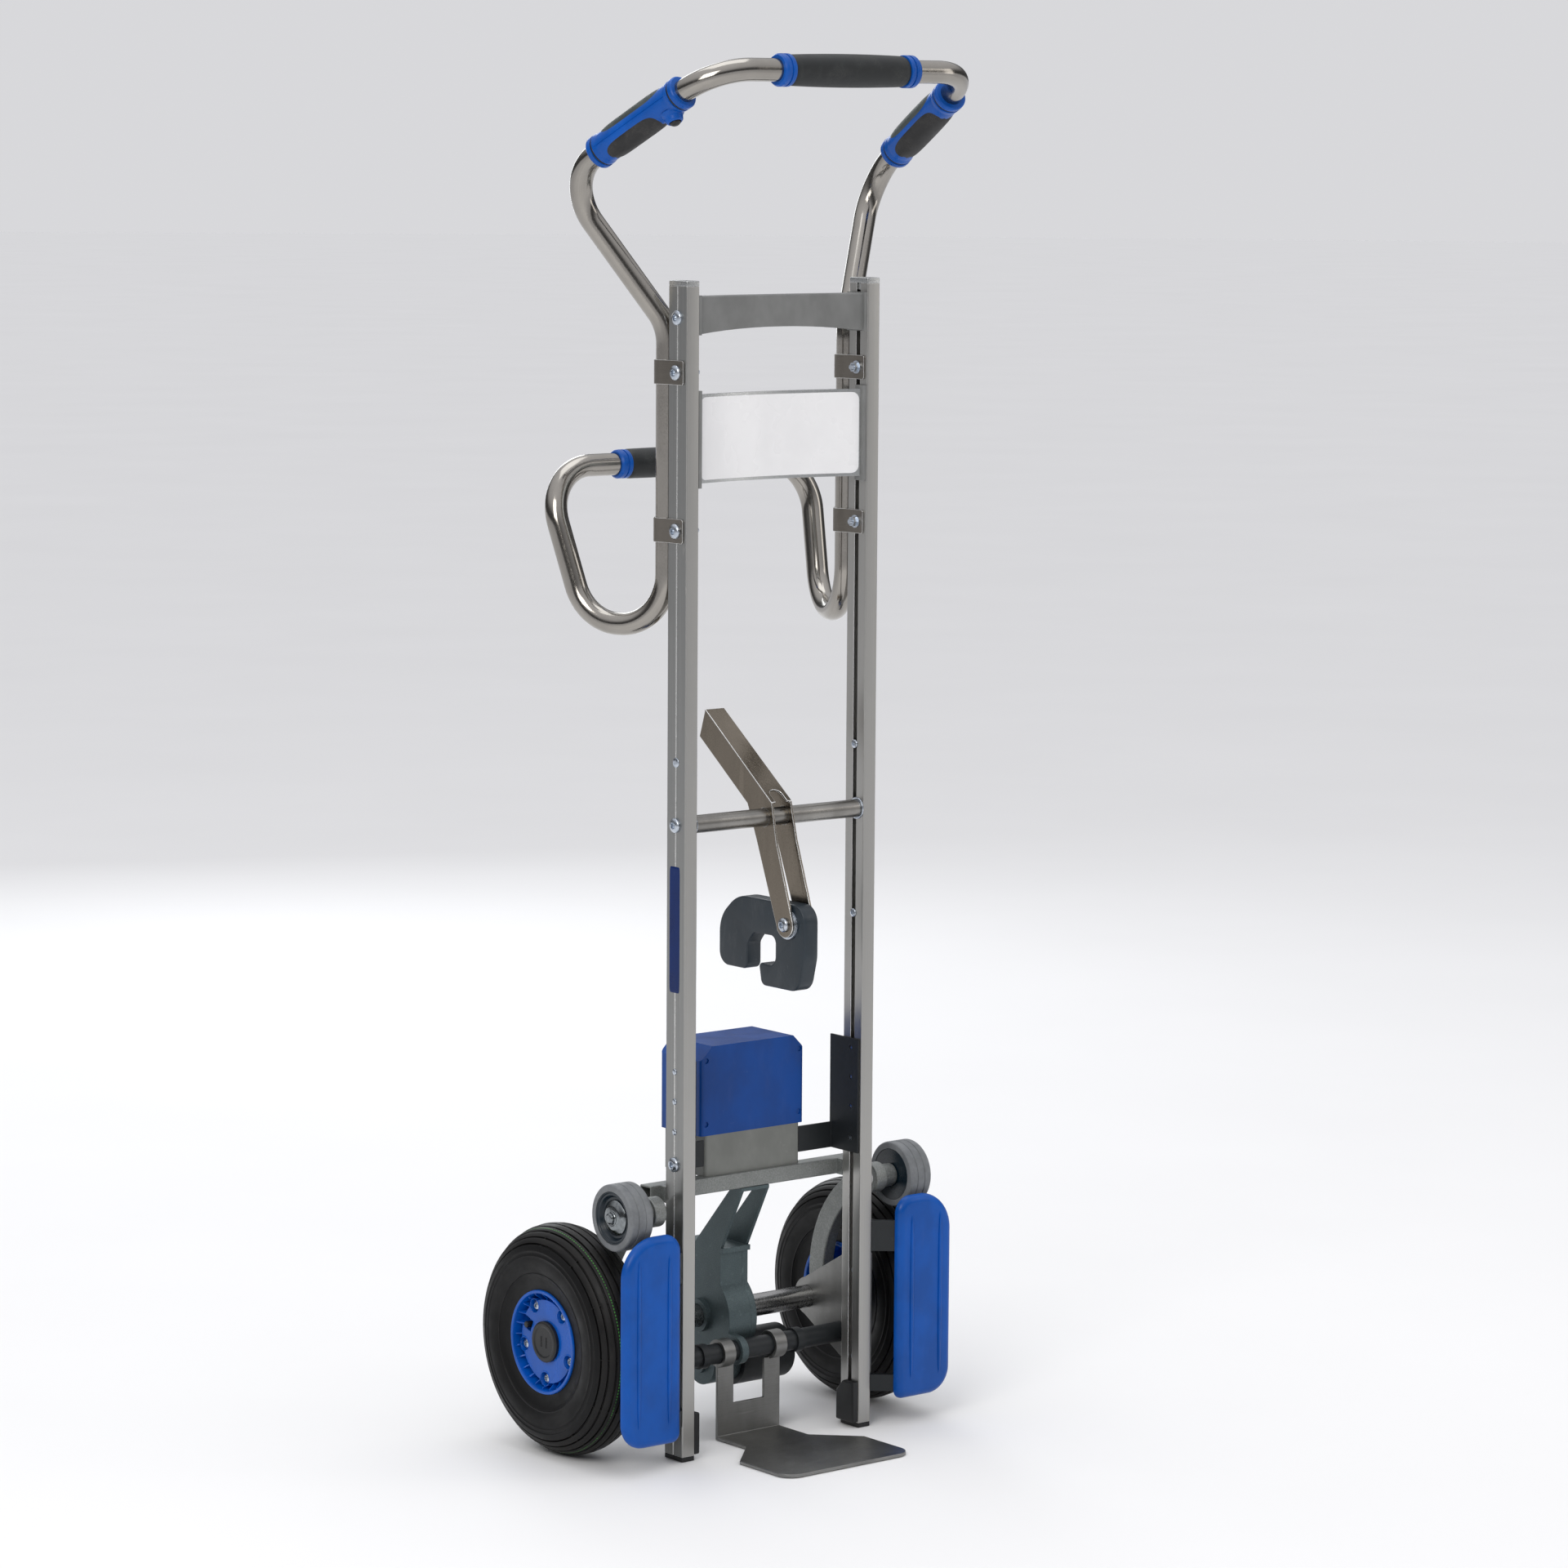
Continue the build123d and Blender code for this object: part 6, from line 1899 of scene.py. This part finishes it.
@dataclass
class KegHook:
    """Thick hook plate with a smooth outline and rolled edges.

    Each corner of the outline is y, z and the radius that rounds it.
    """

    half: float = 10.0
    roll: float = 1.8
    corners: tuple = (
        (-53.5, 618.5, 20), (-53.5, 560.0, 40), (-44.0, 521.5, 18), (22.0, 521.5, 8),
        (27.0, 547.0, 4.5), (-2.5, 545.0, 11), (-2.5, 579.5, 9), (36.0, 579.0, 8),
        (47.0, 566.0, 8), (47.0, 536.0, 8), (98.0, 536.0, 16), (98.0, 590.0, 38),
        (66.0, 618.5, 45),
    )

    def build(self) -> None:
        """Stack the outline across the plate, rolled inwards a quarter turn at each face."""
        places = np.array(self.corners)
        outline = rounded(places[:, :2], places[:, 2], closed=True, steps=12)
        lean = np.linspace(math.pi / 2, 0, 7)
        depth = self.roll * (1 - np.cos(lean))
        across = self.half - self.roll * (1 - np.sin(lean))
        steps = [*zip(depth, across), *zip(depth[::-1], -across[::-1])]
        rows = [np.column_stack([np.full(len(outline), x), inset(outline, d)]) for d, x in steps]
        piece("hook_plate", [Patch(np.stack(rows), capped=True)], [Palette.slate], "hook",
              ("keg_hook",))


def dress_model() -> None:
    """Give every model node that stays its finish."""
    dress(Palette.black, "rail_feet")
    dress(Palette.cross_tube, "cross_tube")
    dress(Palette.zinc, "clip_nuts")
    dress(Palette.cell, "battery_cells")
    dress(Palette.board, "control_board")
    dress(Palette.dark_paint, "lower_tube", "motor")
    dress(Palette.shaft, "shaft_bearings", "motor_pinion", "drive_gear", "climbing_shaft",
          "main_axle", "support_axles")


def stand(made: bpy.types.Object, place: tuple, axes: list[np.ndarray]) -> None:
    """Put an object at its place with its own x, y and z along the axes.

    Args:
        made: the object.
        place: its place, in metres.
        axes: three unit vectors square to each other.
    """
    turn = Matrix(np.column_stack(axes).tolist()).to_4x4()
    made.matrix_world = Matrix.Translation(place) @ turn


@dataclass
class Studio:
    """Camera, pale floor and soft lights, in metres and degrees."""

    azimuth: float = 38.97
    pitch: float = 7.313
    roll: float = 0.38
    place: tuple = (-3.590, -4.442, 1.482)
    lens: float = 119.33
    aim: tuple = (0.0, 0.05, 0.75)
    floor_radius: float = 60.0
    floor_height: float = -0.0006
    floor_corners: int = 96
    backdrop: tuple = (0.688, 0.688, 0.708, 1.0)
    sky: tuple = ((0.0, 0.5), (0.48, 0.3), (0.53, 0.07), (0.62, 0.12), (0.74, 0.7), (1.0, 1.05))

    def camera(self) -> None:
        """Camera at the photograph's place and turn."""
        a, p, r = (math.radians(v) for v in (self.azimuth, self.pitch, self.roll))
        look = np.array([math.sin(a) * math.cos(p), math.cos(a) * math.cos(p), -math.sin(p)])
        right = np.array([math.cos(a), -math.sin(a), 0.0])
        up = np.cross(right, look)
        right, up = (right * math.cos(r) + up * math.sin(r),
                     up * math.cos(r) - right * math.sin(r))
        data = bpy.data.cameras.new("studio_camera")
        data.lens, data.sensor_width = self.lens, 36.0
        data.clip_start, data.clip_end = 0.1, 200.0
        made = linked("studio_camera", data)
        stand(made, self.place, [right, up, -look])
        bpy.context.scene.camera = made

    def light(self, name: str, place: tuple, size: tuple, power: float, tone: tuple) -> None:
        """Area light aimed at the trolley's middle.

        Args:
            name: light name.
            place: its place, in metres.
            size: its width and height, in metres.
            power: its power, in watts.
            tone: its colour.
        """
        data = bpy.data.lights.new(name, "AREA")
        data.shape, data.size, data.size_y = "RECTANGLE", size[0], size[1]
        data.energy, data.color = power, tone
        back = unit(np.array(place) - self.aim)
        side = unit(np.cross((0.0, 0.0, 1.0), back))
        stand(linked(name, data), place, [side, np.cross(back, side), back])

    def surroundings(self) -> None:
        """Soft sky: bright overhead, dimmer at eye level, pale where the camera sees it."""
        bpy.context.scene.view_settings.view_transform = "Standard"
        world = bpy.data.worlds.new("soft_room")
        world.use_nodes = True
        bpy.context.scene.world = world
        nodes, links = world.node_tree.nodes, world.node_tree.links
        ramp = nodes.new("ShaderNodeValToRGB")
        while len(ramp.color_ramp.elements) < len(self.sky):
            ramp.color_ramp.elements.new(0.5)
        for element, (position, grey) in zip(ramp.color_ramp.elements, self.sky):
            element.position, element.color = position, (grey, grey, grey * 1.03, 1.0)
        spaces = nodes.new("ShaderNodeTexCoord")
        split = nodes.new("ShaderNodeSeparateXYZ")
        height = nodes.new("ShaderNodeMapRange")
        height.inputs["From Min"].default_value = -1.0
        links.new(spaces.outputs["Generated"], split.inputs[0])
        links.new(split.outputs["Z"], height.inputs["Value"])
        links.new(height.outputs[0], ramp.inputs["Fac"])
        seen = nodes.new("ShaderNodeLightPath")
        mix = nodes.new("ShaderNodeMix")
        mix.data_type = "RGBA"
        mix.inputs[7].default_value = self.backdrop
        links.new(seen.outputs["Is Camera Ray"], mix.inputs["Factor"])
        links.new(ramp.outputs["Color"], mix.inputs[6])
        links.new(mix.outputs[2], nodes["Background"].inputs["Color"])

    def floor(self) -> None:
        """Pale floor, a wide disc with a fine plaster tone."""
        count = self.floor_corners
        ring = np.column_stack([round_section(self.floor_radius, count),
                                np.full(count, self.floor_height)])
        mesh = bpy.data.meshes.new("pale_floor")
        mesh.from_pydata(ring.tolist(), [], [list(range(count))])
        tree = Tree("floor_plaster")
        plaster = tree.tint(tree.noise(1.5), (0.86, 0.86, 0.86, 1), (0.9, 0.9, 0.9, 1))
        tree.shade(base_color=plaster, roughness=0.9, specular_ior_level=0.0)
        mesh.materials.append(tree.material)
        made = linked("pale_floor", mesh)

    def build(self) -> None:
        """Camera first, then floor, surroundings and lights."""
        self.camera()
        self.floor()
        self.surroundings()
        self.light("key_left", (-3.2, -2.0, 3.0), (2.0, 2.0), 62.0, (1.0, 0.98, 0.95))
        self.light("fill_right", (3.2, -2.6, 2.0), (1.2, 2.4), 14.0, (1.0, 0.96, 0.92))
        self.light("top_soft", (0.2, 0.6, 4.2), (2.4, 2.4), 26.0, (0.97, 0.99, 1.0))
        self.light("back_rim", (1.6, 3.6, 2.2), (1.2, 2.4), 26.0, (0.95, 0.98, 1.0))


def clear_start() -> None:
    """Remove the objects that a new file begins with."""
    for name in ("Cube", "Light", "Camera"):
        if name in bpy.data.objects:
            bpy.data.objects.remove(bpy.data.objects[name])


def main() -> None:
    """Build the scene in order."""
    logging.basicConfig(level=logging.INFO, format="%(name)s %(message)s")
    clear_start()
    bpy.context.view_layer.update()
    Studio().build()
    dress_model()
    for assembly in (HandleTube(), BarGrips(), SideGrips(), MainWheels(), SupportWheels(),
                     WheelGuards(), FrameScrews(), SignPanel(), FrameParts(), KegLever(),
                     KegHook()):
        assembly.build()


if __name__ == "__main__":
    main()
